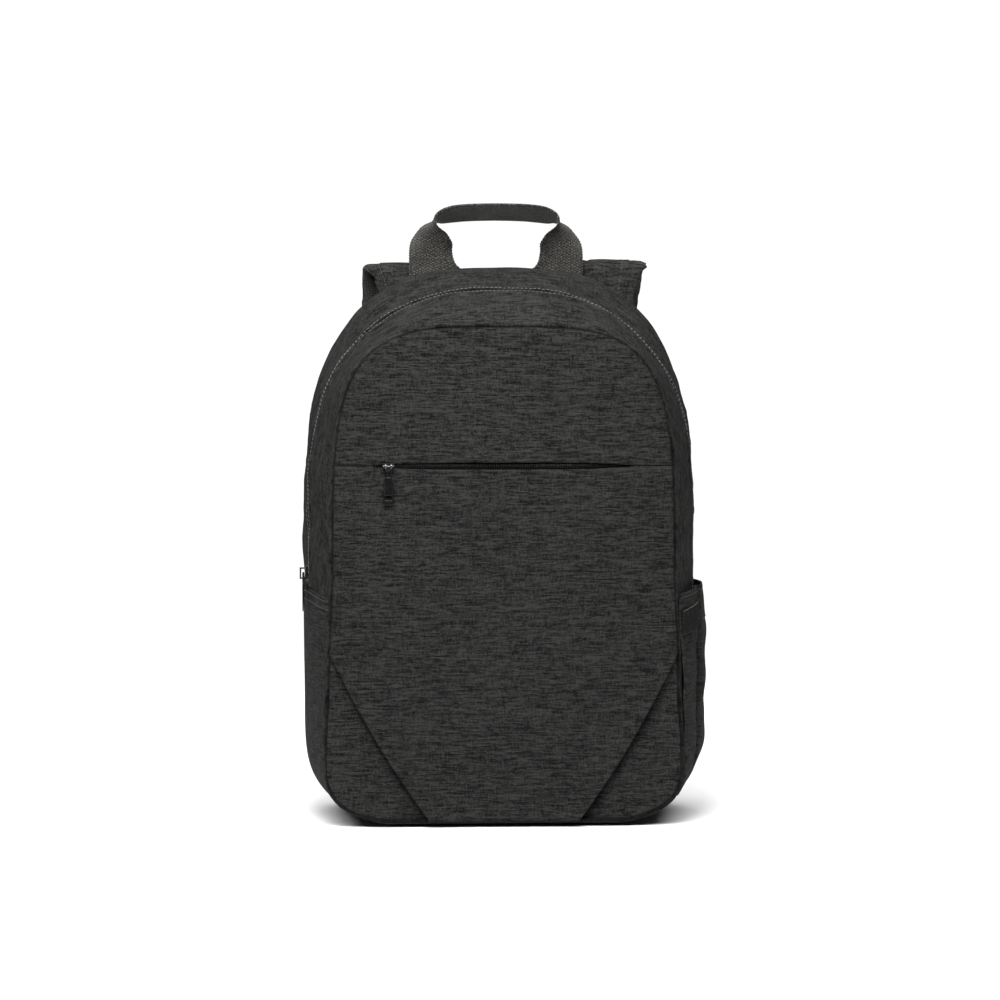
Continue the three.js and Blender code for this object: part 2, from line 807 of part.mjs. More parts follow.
function mainSlider() {
  const plateBack = mainPlateStand;
  const plateX = -plateBack - mainPlateThick / 2;
  const plate = boxAt(mainPlateThick, mainSliderWidth, mainSliderLength, plateX, 0, 0);
  const bridgeIn = mainHingeStand + hingeRadius + hingeClearance + bridgeRoom;
  const bridge = boxAt(bridgeThick, bridgeWidth, bridgeLength, -bridgeIn - bridgeThick / 2, 0, 0);
  const postHalf = bridgeLength / 2 - bridgeThick / 2;
  const postOut = bridgeIn + bridgeThick / 2;
  const posts = [-1, 1].map((side) => (
    boxAt(postOut - plateBack, bridgeWidth, bridgeThick, -(postOut + plateBack) / 2, 0, side * postHalf)
  ));
  const geometry = join(plate, bridge, ...posts);
  geometry.translate(mainSliderX, mainSliderY, mainSliderHeight);
  return geometry;
}

// Side pockets

// Point on the side of the bag at a share of the seam depth and a height, stood off along the side's normal.
function sidePoint(side, depth, z, off) {
  const at = (d) => [halfWidthAt(sectionAt(d), z), depthToY(d, z)];
  const [x, y] = at(depth);
  const a = at(Math.max(depth - 0.01, 0));
  const b = at(Math.min(depth + 0.01, 1));
  const length = Math.hypot(b[0] - a[0], b[1] - a[1]);
  const normalX = -(b[1] - a[1]) / length;
  const normalY = (b[0] - a[0]) / length;
  return [side * (x + normalX * off), y + normalY * off, z];
}

// A pocket on one side: its folds, bulge and the heights of its top edge at the front seam and at the rear.
const leftPocket = {
  side: -1,
  folds: pocketLeftFolds,
  bulge: pocketLeftBulge,
  top: pocketLeftTop,
};
const rightPocket = {
  side: 1,
  folds: pocketRightFolds,
  bulge: pocketRightBulge,
  top: pocketRightTop,
};

function pocketTopAt(pocket, depth) {
  const t = Math.min(Math.max((1 - depth) / pocketTopRun, 0), 1);
  return mix(pocket.top.front, pocket.top.rear, t);
}

// Stand-off of a pocket's inner surface from the bag, at a height.
function pocketStand(pocket, depth, z) {
  const rise = Math.min(Math.max((z - pocketBase) / (pocketTopAt(pocket, depth) - pocketBase), 0), 1);
  const across = readTable(pocket.folds, 'depth', 'out', depth);
  return pocketSeat + pocket.bulge * across * readTable(pocketRises, 'rise', 'out', rise);
}

function sidePocket(pocket) {
  const rises = 12;
  const outer = [];
  const inner = [];
  for (const depth of pocketDepths(pocket.folds)) {
    const outerRow = [];
    const innerRow = [];
    for (let k = 0; k <= rises; k += 1) {
      const z = mix(pocketBase, pocketTopAt(pocket, depth), k / rises);
      const stand = pocketStand(pocket, depth, z);
      outerRow.push(sidePoint(pocket.side, depth, z, stand + pocketWall));
      innerRow.push(sidePoint(pocket.side, depth, z, stand));
    }
    outer.push(outerRow);
    inner.push(innerRow);
  }
  return sheet(outer, inner);
}

// Columns of a pocket sheet: each row of its table, and more between where the fold is broad.
function pocketDepths(folds) {
  const widest = 0.07;
  const depths = [];
  for (let i = 0; i < folds.length - 1; i += 1) {
    const a = folds[i].depth;
    const b = folds[i + 1].depth;
    const parts = Math.ceil((a - b) / widest);
    for (let k = 0; k < parts; k += 1) {
      depths.push(mix(a, b, k / parts));
    }
  }
  depths.push(folds[folds.length - 1].depth);
  return depths;
}

// Webbing strip across the right pocket's front bellow.
function bellowWebbing() {
  const outer = [];
  const inner = [];
  const bellow = pocketRightFolds.slice(0, 5);
  const first = bellow[0].depth;
  const last = bellow[bellow.length - 1].depth;
  for (const { depth } of bellow) {
    const top = bellowWebbingTop - bellowWebbingFall * (depth - last) / (first - last);
    const outerRow = [];
    const innerRow = [];
    for (const t of [0, 0.5, 1]) {
      const z = top - bellowWebbingHeight * (1 - t);
      const stand = pocketStand(rightPocket, depth, z) + pocketWall + clearance;
      outerRow.push(sidePoint(1, depth, z, stand + bellowWebbingThick));
      innerRow.push(sidePoint(1, depth, z, stand));
    }
    outer.push(outerRow);
    inner.push(innerRow);
  }
  return sheet(outer, inner);
}

// Straps and webbings

// Solid swept through stations, each with a middle, directions across and out, a width and a thickness.
function sweep(stations, corners) {
  const rings = stations.map((s) => corners.map(([u, v]) => {
    const point = s.middle.clone();
    point.addScaledVector(s.across, u * s.width / 2);
    point.addScaledVector(s.out, v * s.thick / 2);
    return point.toArray();
  }));
  return loft(rings);
}

// Directions along a list of middle points.
function tangents(points) {
  return points.map((_, i) => {
    const a = points[Math.max(i - 1, 0)];
    const b = points[Math.min(i + 1, points.length - 1)];
    return b.clone().sub(a).normalize();
  });
}

const backFaceY = backSeamY + clearance + backPadThick;
const handleY = backFaceY + clearance + handleThick / 2;

function handle() {
  const mirrored = handleRows.slice(0, -1).reverse().map((r) => ({ ...r, across: -r.across }));
  const rows = [...handleRows, ...mirrored];
  const smooth = [];
  const perRow = 3;
  for (let i = 0; i < rows.length - 1; i += 1) {
    for (let k = 0; k < perRow; k += 1) {
      smooth.push(i + k / perRow);
    }
  }
  smooth.push(rows.length - 1);
  const keyed = rows.map((r, i) => ({ ...r, key: i }));
  const value = (name, key) => readTable(keyed, 'key', name, key);
  const middles = smooth.map((key) => new THREE.Vector3(
    -handleHalfSpan * value('across', key),
    handleY,
    bodyHeight + handleRise * value('rise', key),
  ));
  const along = tangents(middles);
  const stations = middles.map((middle, i) => {
    const turn = THREE.MathUtils.degToRad(value('turn', smooth[i]));
    const inward = new THREE.Vector3(along[i].z, 0, -along[i].x);
    const towards = new THREE.Vector3(0, -1, 0);
    const across = inward.multiplyScalar(Math.cos(turn)).addScaledVector(towards, Math.sin(turn));
    const out = new THREE.Vector3().crossVectors(along[i], across).normalize();
    return { middle, across, out, width: handleWebbing, thick: handleThick };
  });
  return sweep(stations, flatCorners);
}

// Padded strap on one side, from its seam at the top of the back panel down to its lower end.
function shoulderStrap(side, shift) {
  const seat = handleY + handleThick / 2 + clearance + strapSeamThick / 2;
  const keyed = strapLeftRows.map((r, i) => ({ ...r, key: i }));
  const value = (name, key) => readTable(keyed, 'key', name, key);
  const last = keyed.length - 1;
  const keys = Array.from({ length: 2 * last + 1 }, (_, i) => i / 2);
  const middles = keys.map((key) => {
    const top = Math.max(1 - key / shiftedRows, 0);
    return new THREE.Vector3(
      side * (value('across', key) + shift.across * top) * bodyWidth / 2,
      seat + strapBow * value('back', key),
      (value('rise', key) + shift.rise * (key < 2 ? 0 : top)) * bodyHeight,
    );
  });
  const along = tangents(middles);
  const stations = middles.map((middle, i) => {
    const across = new THREE.Vector3(1, 0, 0);
    const out = new THREE.Vector3(0, along[i].z, -along[i].y).normalize();
    const width = strapWidth * value('width', keys[i]);
    const thick = strapPad * value('pad', keys[i]);
    return { middle, across, out, width, thick };
  });
  return { geometry: sweep(stations, padCorners), end: middles[middles.length - 1] };
}

// Flat webbing along a route of points in a plane of Y and Z, with X given at each point.
function flatWebbing(points, width) {
  const middles = points.map(([x, y, z]) => new THREE.Vector3(x, y, z));
  const along = tangents(middles);
  const stations = middles.map((middle, i) => {
    const across = new THREE.Vector3(1, 0, 0);
    const out = new THREE.Vector3(0, along[i].z, -along[i].y).normalize();
    return { middle, across, out, width, thick: lowerWebbingThick };
  });
  return sweep(stations, flatCorners);
}

// Half circle of route points around a bar, from the bag's side of the bar to its outer side.
function turnAround(x, y, z, radius, up) {
  const points = [];
  for (let k = 0; k <= 6; k += 1) {
    const a = Math.PI * k / 6;
    points.push([x, y - radius * Math.cos(a), z + up * radius * Math.sin(a)]);
  }
  return points;
}

function strapHardware(side, end) {
  const x = end.x;
  const y = end.y;
  const turnRadius = Math.hypot(buckleBar, buckleBar) / 2 + barClearance + lowerWebbingThick / 2;
  const topBarZ = end.z - clearance - tabDrop;
  const middleBarZ = topBarZ - buckleHeight / 2 + buckleBar / 2;
  const lowBarZ = topBarZ - buckleHeight + buckleBar;
  const sideX = lowerWebbing / 2 + buckleSideRoom + buckleSide / 2;
  const frameCentre = (topBarZ + lowBarZ) / 2;
  const bars = [topBarZ, middleBarZ, lowBarZ].map((z) => boxAt(2 * sideX, buckleBar, buckleBar, x, y, z));
  const sides = [-1, 1].map((s) => (
    boxAt(buckleSide, buckleBar, buckleHeight, x + s * sideX, y, frameCentre)
  ));
  const buckle = join(...bars, ...sides);

  const tabTop = end.z - clearance;
  const tabRoute = [[x, y - turnRadius, tabTop], [x, y - turnRadius, (tabTop + topBarZ) / 2]];
  tabRoute.push(...turnAround(x, y, topBarZ, turnRadius, -1));
  tabRoute.push([x, y + turnRadius, (tabTop + topBarZ) / 2], [x, y + turnRadius, tabTop]);
  const tab = flatWebbing(tabRoute, lowerWebbing);

  const anchorX = side * (bodyWidth / 2) * lowerAnchorShare;
  const anchorY = backFaceY + clearance + lowerWebbingThick / 2;
  const innerY = y - turnRadius;
  const outerY = y + turnRadius;
  const freeZ = lowerAnchorHeight + lowerAnchorRun;
  const route = [[anchorX, anchorY, lowerAnchorHeight], [anchorX, anchorY, freeZ]];
  for (const t of [0.2, 0.4, 0.6, 0.8]) {
    const ease = t * t * (3 - 2 * t);
    const bow = lowerBow * Math.sin(Math.PI * t);
    route.push([mix(anchorX, x, ease), mix(anchorY, innerY, ease) + bow, mix(freeZ, lowBarZ - lowerLead, t)]);
  }
  route.push([x, innerY, lowBarZ - buckleBar]);
  route.push([x, innerY, lowBarZ + buckleBar]);
  route.push(...turnAround(x, y, middleBarZ, turnRadius, 1));
  route.push([x, outerY, lowBarZ]);
  route.push([x, outerY + tailStand / 3, lowBarZ - tailFall]);
  route.push([x, outerY + tailStand, mix(lowBarZ, tailEndHeight, 0.5)]);
  route.push([x, outerY + tailStand, tailEndHeight]);
  return { buckle, tab, webbing: flatWebbing(route, lowerWebbing) };
}

// Back panel: a flat pad over the whole back of the bag, with a softened rim.
function backPanel() {
  const rim = outline(sectionAt(0));
  const rings = [
    { share: 1, y: backSeamY + clearance },
    { share: 1, y: backSeamY + clearance + backPadThick * 0.4 },
    { share: 0.985, y: backFaceY },
  ];
  const centre = bodyHeight / 2;
  return loft(rings.map(({ share, y }) => rim.map(([x, z]) => [x * share, y, mix(centre, z, share)])));
}

// Assembly
addPiece('back_panel', backPanel(), 'padding');
addPiece('rear_gusset', rearGusset(), 'shell');
addPiece('front_gusset', frontGusset(), 'shell');
addPiece('main_zip_tape', zipStrip(zipTapeWidth, zipTapeThick, -clothWall - clearance), 'tape');
addPiece('main_zip_coil', zipStrip(zipCoilWidth, zipCoilThick, mainCoilOut), 'coil');

const panels = frontPanels();
addPiece('front_panel_upper', panels.upper, 'shell');
addPiece('front_panel_lower', panels.lower, 'shell');
addPiece('corner_panel_left', panels.cornerLeft, 'shade');
addPiece('corner_panel_right', panels.cornerRight, 'shade');

const slitCoil = slitStrip(slitHalfLength, slitCoilWidth, slitCoilThick, clearance);
addPiece('front_zip_coil', slitCoil, 'coil');
const tapeHalf = slitHalfLength + slitTapeRunOut;
const tapeBehind = clearance * 2 + slitCoilThick;
addPiece('front_zip_tape', slitStrip(tapeHalf, slitTapeWidth, slitTapeThick, tapeBehind), 'tape');

addPiece('front_slider', frontSlider(), 'metal');
const hungFront = frontPuller();
hungFront.translate(frontSliderX, frontHingeY, slitHeight);
addPiece('front_puller', hungFront, 'metal');
addPiece('main_slider', mainSlider(), 'metal');
const hungMain = mainPuller();
hungMain.rotateZ(Math.PI / 2);
hungMain.translate(mainHingeX, mainSliderY, mainSliderHeight);
addPiece('main_puller', hungMain, 'metal');

addPiece('side_pocket_left', sidePocket(leftPocket), 'shell');
addPiece('side_pocket_right', sidePocket(rightPocket), 'shell');
addPiece('pocket_webbing_right', bellowWebbing(), 'webbing');

addPiece('handle', handle(), 'webbing');

const straps = [['left', -1, { across: 0, rise: 0 }], ['right', 1, strapRightShift]];
for (const [name, side, shift] of straps) {
  const strap = shoulderStrap(side, shift);
  const hardware = strapHardware(side, strap.end);
  addPiece(`shoulder_strap_${name}`, strap.geometry, 'padding');
  addPiece(`strap_buckle_${name}`, hardware.buckle, 'plastic');
  addPiece(`strap_tab_${name}`, hardware.tab, 'webbing');
  addPiece(`strap_webbing_${name}`, hardware.webbing, 'webbing');
}

export default backpack;
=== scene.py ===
"""Looks of the laptop backpack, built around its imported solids. Metres, +Z up, the front towards -Y."""

import math

import bmesh
import bpy
import numpy as np
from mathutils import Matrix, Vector
from mathutils.bvhtree import BVHTree


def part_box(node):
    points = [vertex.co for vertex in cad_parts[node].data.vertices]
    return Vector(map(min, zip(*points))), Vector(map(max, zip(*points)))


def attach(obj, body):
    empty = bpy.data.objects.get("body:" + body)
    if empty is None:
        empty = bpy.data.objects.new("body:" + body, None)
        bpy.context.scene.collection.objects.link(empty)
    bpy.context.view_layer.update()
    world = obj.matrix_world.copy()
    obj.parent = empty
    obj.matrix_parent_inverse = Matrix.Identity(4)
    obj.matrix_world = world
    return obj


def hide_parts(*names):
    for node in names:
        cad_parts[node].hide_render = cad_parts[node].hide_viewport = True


MM = 0.001

# Body, as the solids have it
BODY_HEIGHT = 421 * MM
BODY_WIDTH = 302 * MM
BACK_SEAM_Y = 58 * MM
SEAM_DEPTH_BASE = 130 * MM
SEAM_DEPTH_TOP = 110 * MM
CROWN_DEPTH = 9 * MM
CROWN_POWER = 2.4
CLOTH_WALL = 2 * MM
CLEARANCE = 0.3 * MM
CORNER_RECESS = 1.1 * MM
BASE_SINK = 1.012

# Zips
ZIP_SHARE = 0.64
ZIP_END_HEIGHT = 181 * MM
ZIP_RUN_OUT = 12 * MM
ZIP_LIP_GAP = 6.4 * MM
ZIP_CLOSED_GAP = 2.6 * MM
SLIDER_TOP = 196 * MM
SLIT_HEIGHT = 271.5 * MM
SLIT_END_INSET = 27 * MM
SLIT_OPENING = 5.2 * MM
SEAM_GAP = 0.3 * MM
# Painted shade beside the seams: how dark it makes the cloth's colour, and how far from the seam it reaches
SEAM_SHADE = 0.75
SEAM_SHADE_WIDTH = 1.2 * MM
TAPE_HALF = 9 * MM
# Sliders and pullers: node, body, rounding of the edges
ZIP_METAL = (("front_slider", "root", 0.5 * MM), ("front_puller", "front_puller", 0.28 * MM),
             ("main_slider", "root", 0.4 * MM), ("main_puller", "main_puller", 0.28 * MM))
COIL_FLATNESS = 0.62

# Folded edges of the centre panel
FOLD_TOP_HEIGHT = 130 * MM
FOLD_FOOT_X = 54 * MM
FOLD_BOW = 3 * MM

# Side pockets
POCKET_WALL = 1.4 * MM
POCKET_SEAT = 0.8 * MM
POCKET_BASE = 22 * MM
POCKET_TOP_RUN = 0.3
POCKET_FRONT = 0.985
POCKET_REAR = 0.06
RIGHT_POCKET_TOP = (174 * MM, 178.5 * MM)
RIGHT_POCKET_BULGE = 8.4 * MM
STRIP_HEIGHT = 19 * MM
STRIP_RUN = 35 * MM
STRIP_TOP = 167 * MM
STRIP_RIB = 1.55 * MM
STRIP_REAR = 0.71
STRIP_BEND = 0.79
PLEAT_PLACE = 0.7

# Handle
HANDLE_WEBBING = 34 * MM
HANDLE_THICK = 2.4 * MM
HANDLE_HALF_SPAN = 51.5 * MM
HANDLE_RISE = 45 * MM
HANDLE_Y = 66.8 * MM
HANDLE_STEPS = 620
HANDLE_YARN = 2.1 * MM

# Sections: depth, half, crest, shoulder, arch power, hip, hip top, base power, lift
SECTIONS = (
    (0.00, 0.945, 0.983, 0.530, 2.90, 0.975, 0.220, 4.30, 0.008),
    (0.12, 0.985, 0.996, 0.515, 2.85, 0.985, 0.220, 4.30, 0.001),
    (0.34, 1.000, 1.000, 0.510, 2.85, 0.990, 0.215, 4.25, 0.000),
    (0.64, 0.970, 0.960, 0.568, 2.45, 0.990, 0.200, 4.20, 0.000),
    (0.84, 0.925, 0.932, 0.520, 2.90, 1.000, 0.170, 4.00, 0.002),
    (1.00, 0.8545, 0.893, 0.451, 4.00, 1.046, 0.143, 3.80, 0.008),
)
# Side pockets: depth share, outward share of the bulge
RIGHT_FOLDS = (
    (0.06, 0.05), (0.2, 0.6), (0.34, 0.92), (0.48, 1.0), (0.61, 0.95), (0.67, 0.72), (0.7, 0.12),
    (0.73, 0.46), (0.79, 0.45), (0.86, 0.34), (0.93, 0.2), (0.985, 0.03),
)
LEFT_FOLDS = ((0.06, 0.1), (0.2, 0.7), (0.4, 1.0), (0.64, 1.0), (0.85, 0.6), (0.985, 0.1))
POCKET_RISES = ((0, 0.05), (0.1, 0.55), (0.25, 0.9), (0.5, 1.0), (0.75, 0.97), (0.92, 0.8), (1.0, 0.62))
# Handle's middle line: key, share of the half span, share of the rise, turn in degrees
HANDLE_ROWS = (
    (0, 1.0, -0.48, 0), (1, 1.0, 0.1, 0), (2, 1.0, 0.34, 8), (3, 1.0, 0.52, 30), (4, 0.995, 0.695, 60),
    (5, 0.96, 0.81, 86), (6, 0.88, 0.9, 102), (7, 0.71, 0.965, 109), (8, 0.48, 0.998, 110),
    (9, 0.25, 1.01, 110), (10, 0.0, 1.015, 110),
)

# Padded straps: key, share of the half width, share of the bow, share of the height, share of the width
STRAP_ROWS = (
    (0, 0.500, 0.00, 0.925, 0.98), (1, 0.500, 0.00, 0.965, 0.98), (2, 0.501, 0.06, 0.992, 0.98),
    (3, 0.502, 0.22, 1.005, 0.98), (4, 0.503, 0.45, 1.004, 0.99), (5, 0.506, 0.68, 0.985, 1.00),
    (6, 0.512, 0.84, 0.945, 1.00), (7, 0.530, 0.95, 0.880, 1.00), (8, 0.570, 1.00, 0.800, 1.00),
    (9, 0.620, 0.95, 0.700, 0.98), (10, 0.655, 0.80, 0.600, 0.93), (11, 0.670, 0.60, 0.510, 0.86),
    (12, 0.670, 0.46, 0.450, 0.78), (13, 0.670, 0.40, 0.399, 0.62),
)
STRAP_WIDTH = 58 * MM
STRAP_BOW = 36 * MM
STRAP_SEAT_Y = 70.8 * MM
STRAP_SHIFT = {-1: (0.0, 0.0), 1: (0.08, 0.011)}
STRAP_SPREAD = {-1: 0.0, 1: 8 * MM}
STRAP_HEM = 0.6

# Air in the padded pieces
AIR_FRAMES = 20
AIR = {"quality": 6, "mass": 0.25, "tension_stiffness": 18, "compression_stiffness": 12,
       "bending_stiffness": 0.4, "use_pressure": True, "uniform_pressure_force": 4.0}

# Stage
FLOOR_RADIUS = 0.95
CAMERA_LENS = 121.7
CAMERA_AWAY = 2.6
CAMERA_YAW = math.radians(2.7)
CAMERA_HEIGHT = 0.379
CAMERA_AIM_HEIGHT = 0.2425


# Numbers and tables

def mix(a, b, t):
    return a + (b - a) * t


def smooth(low, high, x):
    t = np.clip((x - low) / (high - low), 0, 1)
    return t * t * (3 - 2 * t)


def hump(x, centre, width):
    """Soft bump of height 1 at centre, about width across."""
    return np.exp(-((x - centre) / (0.42 * width)) ** 2)


def read_table(rows, keys):
    """Smooth values of a table's columns at the keys, which are its first column."""
    rows = np.asarray(rows, float)
    keys = np.clip(np.asarray(keys, float).ravel(), rows[0, 0], rows[-1, 0])
    i = np.clip(np.searchsorted(rows[:, 0], keys, side="right") - 1, 0, len(rows) - 2)
    a, b = rows[i], rows[i + 1]
    before = rows[np.maximum(i - 1, 0)]
    after = rows[np.minimum(i + 2, len(rows) - 1)]
    span = b[:, :1] - a[:, :1]
    t = (keys[:, None] - a[:, :1]) / span
    slope_a = (b - before) / (b[:, :1] - before[:, :1]) * span
    slope_b = (after - a) / (after[:, :1] - a[:, :1]) * span
    start = (2 * t ** 3 - 3 * t ** 2 + 1) * a + (t ** 3 - 2 * t ** 2 + t) * slope_a
    return start + (3 * t ** 2 - 2 * t ** 3) * b + (t ** 3 - t ** 2) * slope_b


def ripples(seed, wavelength, points, count=14):
    """Gentle seeded waves through space, about one unit high."""
    rng = np.random.default_rng(seed)
    total = np.zeros(points.shape[:-1])
    for _ in range(count):
        way = rng.normal(size=3)
        way *= 2 * math.pi / (wavelength * rng.uniform(0.7, 1.6) * np.linalg.norm(way))
        total += np.sin(points @ way + rng.uniform(0, 2 * math.pi))
    return total / math.sqrt(count / 2)


def unit(vectors):
    return vectors / np.maximum(np.linalg.norm(vectors, axis=-1, keepdims=True), 1e-12)


def directions(line):
    return unit(np.gradient(line, axis=0))


def paired(a, b):
    """Grid of two values from arrays that stretch to one shape."""
    return np.stack(np.broadcast_arrays(a, b), -1)


def rolled(distance, width):
    """Quarter round that falls to -1 at an edge and starts width from it."""
    return np.sqrt(1 - np.clip(1 - distance / width, 0, 1) ** 2) - 1


# Painted shade: darkening of the cloth's colour close to a seam, where shade falls
def seam_shade(from_seam):
    return np.exp(-(from_seam / SEAM_SHADE_WIDTH) ** 2) * SEAM_SHADE


def along_lengths(line):
    steps = np.linalg.norm(np.diff(line, axis=0), axis=1)
    return np.concatenate(([0], np.cumsum(steps)))


def resample(line, shares):
    """Points at shares of a line's length."""
    lengths = along_lengths(line)
    at = np.asarray(shares) * lengths[-1]
    return np.stack([np.interp(at, lengths, line[:, k]) for k in range(line.shape[1])], axis=-1)


def spaced(length, step, fine=0.25 * MM):
    """Shares from 0 to 1 with steps that start fine at both ends and grow to step."""
    ends = [0.0]
    width = fine
    while width < step and ends[-1] < length / 4:
        ends.append(ends[-1] + width)
        width *= 1.5
    ends = np.array(ends) / length
    middle = np.linspace(ends[-1], 1 - ends[-1], max(int(length * (1 - 2 * ends[-1]) / step), 2) + 1)
    return np.concatenate((ends[:-1], middle, (1 - ends[:-1])[::-1]))


def distance_to(line, points):
    """Distance from each point to the nearest point of a densely drawn line."""
    flat = points.reshape(-1, points.shape[-1])
    best = np.empty(len(flat))
    for start in range(0, len(flat), 4000):
        part = flat[start:start + 4000]
        best[start:start + 4000] = np.sqrt(((part[:, None] - line[None]) ** 2).sum(-1).min(1))
    return best.reshape(points.shape[:-1])


# Form of the bag

def section_columns(depth):
    values = read_table(SECTIONS, depth)
    half = values[:, 1] * BODY_WIDTH / 2
    return {
        "half": half, "crest": values[:, 2] * BODY_HEIGHT, "shoulder": values[:, 3] * BODY_HEIGHT,
        "arch": values[:, 4], "hip": half * values[:, 5], "hip_top": values[:, 6] * BODY_HEIGHT,
        "base": values[:, 7], "lift": np.maximum(values[:, 8], 0) * BODY_HEIGHT,
    }


def half_width(depth, height):
    """Half width of the bag at shares of the seam depth and heights."""
    depth, height = np.broadcast_arrays(np.asarray(depth, float), np.asarray(height, float))
    s = section_columns(depth)
    z = height.ravel()
    up = np.clip((z - s["shoulder"]) / (s["crest"] - s["shoulder"]), 0, 1)
    down = np.clip((s["hip_top"] - z) / (s["hip_top"] * BASE_SINK), 0, 1)
    arch = s["half"] * (1 - up ** s["arch"]) ** (1 / s["arch"])
    base = s["hip"] * (1 - down ** s["base"]) ** (1 / s["base"])
    side = mix(s["hip"], s["half"], (z - s["hip_top"]) / (s["shoulder"] - s["hip_top"]))
    wide = np.where(z > s["shoulder"], arch, np.where(z < s["hip_top"], base, side))
    return wide.reshape(depth.shape)


def seam_depth(height):
    return mix(SEAM_DEPTH_BASE, SEAM_DEPTH_TOP, height / BODY_HEIGHT)


def depth_y(depth, height):
    return BACK_SEAM_Y - depth * seam_depth(height)


def half_outline(depth):
    """Half of a section, as points of X and Z from the bottom centre up the +X side to the crest."""
    s = {key: float(value[0]) for key, value in section_columns([depth]).items()}
    a = np.linspace(math.pi / 2, 0, 160)
    foot = np.stack((s["hip"] * np.cos(a).clip(0) ** (2 / s["base"]),
                     s["hip_top"] * (1 - BASE_SINK * np.sin(a) ** (2 / s["base"]))), -1)
    foot[:, 1] = np.maximum(foot[:, 1], s["lift"])
    foot[0, 0] = 0
    rise = np.linspace(0, 1, 40)[1:-1]
    side = np.stack((mix(s["hip"], s["half"], rise), mix(s["hip_top"], s["shoulder"], rise)), -1)
    b = np.linspace(0, math.pi / 2, 260)
    arch = np.stack((s["half"] * np.cos(b).clip(0) ** (2 / s["arch"]),
                     mix(s["shoulder"], s["crest"], np.sin(b) ** (2 / s["arch"]))), -1)
    arch[-1, 0] = 0
    return np.concatenate((foot, side, arch))


AROUND = 660
DEPTH_STEPS = 120


def ring_table():
    """Sections of the whole bag, as X and Z, from the bottom centre up the +X side and round."""
    rings = []
    for depth in np.linspace(0, 1, DEPTH_STEPS + 1):
        half = resample(half_outline(depth), np.linspace(0, 1, AROUND // 2 + 1))
        other = half[-2:0:-1] * (-1, 1)
        rings.append(np.concatenate((half, other)))
    return np.array(rings)


RINGS = ring_table()


def bag_points(depth, column):
    """Points on the bag's skin at shares of the seam depth, for columns of the ring table."""
    place = np.clip(depth, 0, 1) * DEPTH_STEPS
    low = np.minimum(place.astype(int), DEPTH_STEPS - 1)
    part = (place - low)[..., None]
    flat = RINGS[low, column] * (1 - part) + RINGS[low + 1, column] * part
    x, z = flat[..., 0], flat[..., 1]
    return np.stack((x, depth_y(depth, z), z), -1)


# Meshes

def shade_smooth(mesh):
    mesh.polygons.foreach_set("use_smooth", np.ones(len(mesh.polygons), bool))


def evaluated_mesh(piece):
    """Plain mesh of a piece as its modifiers leave it."""
    graph = bpy.context.evaluated_depsgraph_get()
    shown = piece.evaluated_get(graph)
    return bpy.data.meshes.new_from_object(shown, preserve_all_data_layers=True, depsgraph=graph)


def new_object(name, mesh):
    piece = bpy.data.objects.new(name, mesh)
    bpy.context.scene.collection.objects.link(piece)
    return piece


def mesh_piece(name, points, faces, material, corner_uv, crease=None):
    """Smooth mesh object with its faces turned outwards, and a UV map in metres for the weave."""
    mesh = bpy.data.meshes.new(name)
    mesh.from_pydata(points.tolist(), [], faces.tolist())
    shade_smooth(mesh)
    layer = mesh.uv_layers.new(name="weave")
    layer.data.foreach_set("uv", corner_uv.astype(np.float32).ravel())
    mesh.materials.append(material)
    # Painted shade: a point attribute that darkens the cloth's colour in seams, under folds and in the pleat
    if crease is not None:
        attribute = mesh.attributes.new("crease", "FLOAT", "POINT")
        attribute.data.foreach_set("value", crease.astype(np.float32).ravel())
    mesh.validate(clean_customdata=False)
    work = bmesh.new()
    work.from_mesh(mesh)
    bmesh.ops.remove_doubles(work, verts=work.verts, dist=1e-6)
    if work.calc_volume(signed=True) < 0:
        bmesh.ops.reverse_faces(work, faces=work.faces)
    work.to_mesh(mesh)
    work.free()
    return new_object(name, mesh)


def quads(rows, columns):
    """Corner indices of a grid's faces."""
    r, c = np.meshgrid(np.arange(rows - 1), np.arange(columns - 1), indexing="ij")
    r, c = r.ravel(), c.ravel()
    first = r * columns + c
    return np.stack((first, first + 1, first + columns + 1, first + columns), -1)


def grid_normals(face, away_from):
    """Unit normals of a grid of points, turned away from a point."""
    down = np.gradient(face, axis=0)
    across = np.gradient(face, axis=1)
    normal = unit(np.cross(down, across))
    if ((face - away_from) * normal).sum() < 0:
        normal = -normal
    return normal


def cloth_piece(name, face, normal, thick, rim, uv, material, ring=False, crease=None):
    """Closed sheet of cloth from the grid of its outer side, rounded off by rim, the distance to its edge.

    A ring joins its last row to its first. The last argument gives how much painted shade darkens each
    point's colour, in seams, under folds and in the pleat.
    """
    radius = thick / 2
    swell = radius * np.sqrt(1 - (1 - np.clip(rim / radius, 0, 1)) ** 2)
    middle = face - normal * radius
    outer = middle + normal * swell[..., None]
    inner = middle - normal * swell[..., None]
    rows, columns = face.shape[:2]
    faces = quads(rows, columns)
    far = rows * columns
    every = np.concatenate((faces, faces[:, ::-1] + far))
    points = np.concatenate((outer.reshape(-1, 3), inner.reshape(-1, 3)))
    flat_uv = np.tile(uv.reshape(-1, 2), (2, 1))
    if ring:
        last = (rows - 1) * columns
        points[last:far] = points[:columns]
        points[far + last:] = points[far:far + columns]
    if crease is not None:
        crease = np.tile(crease.ravel(), 2)
    return mesh_piece(name, points, every, material, flat_uv[every], crease)


# Node graphs

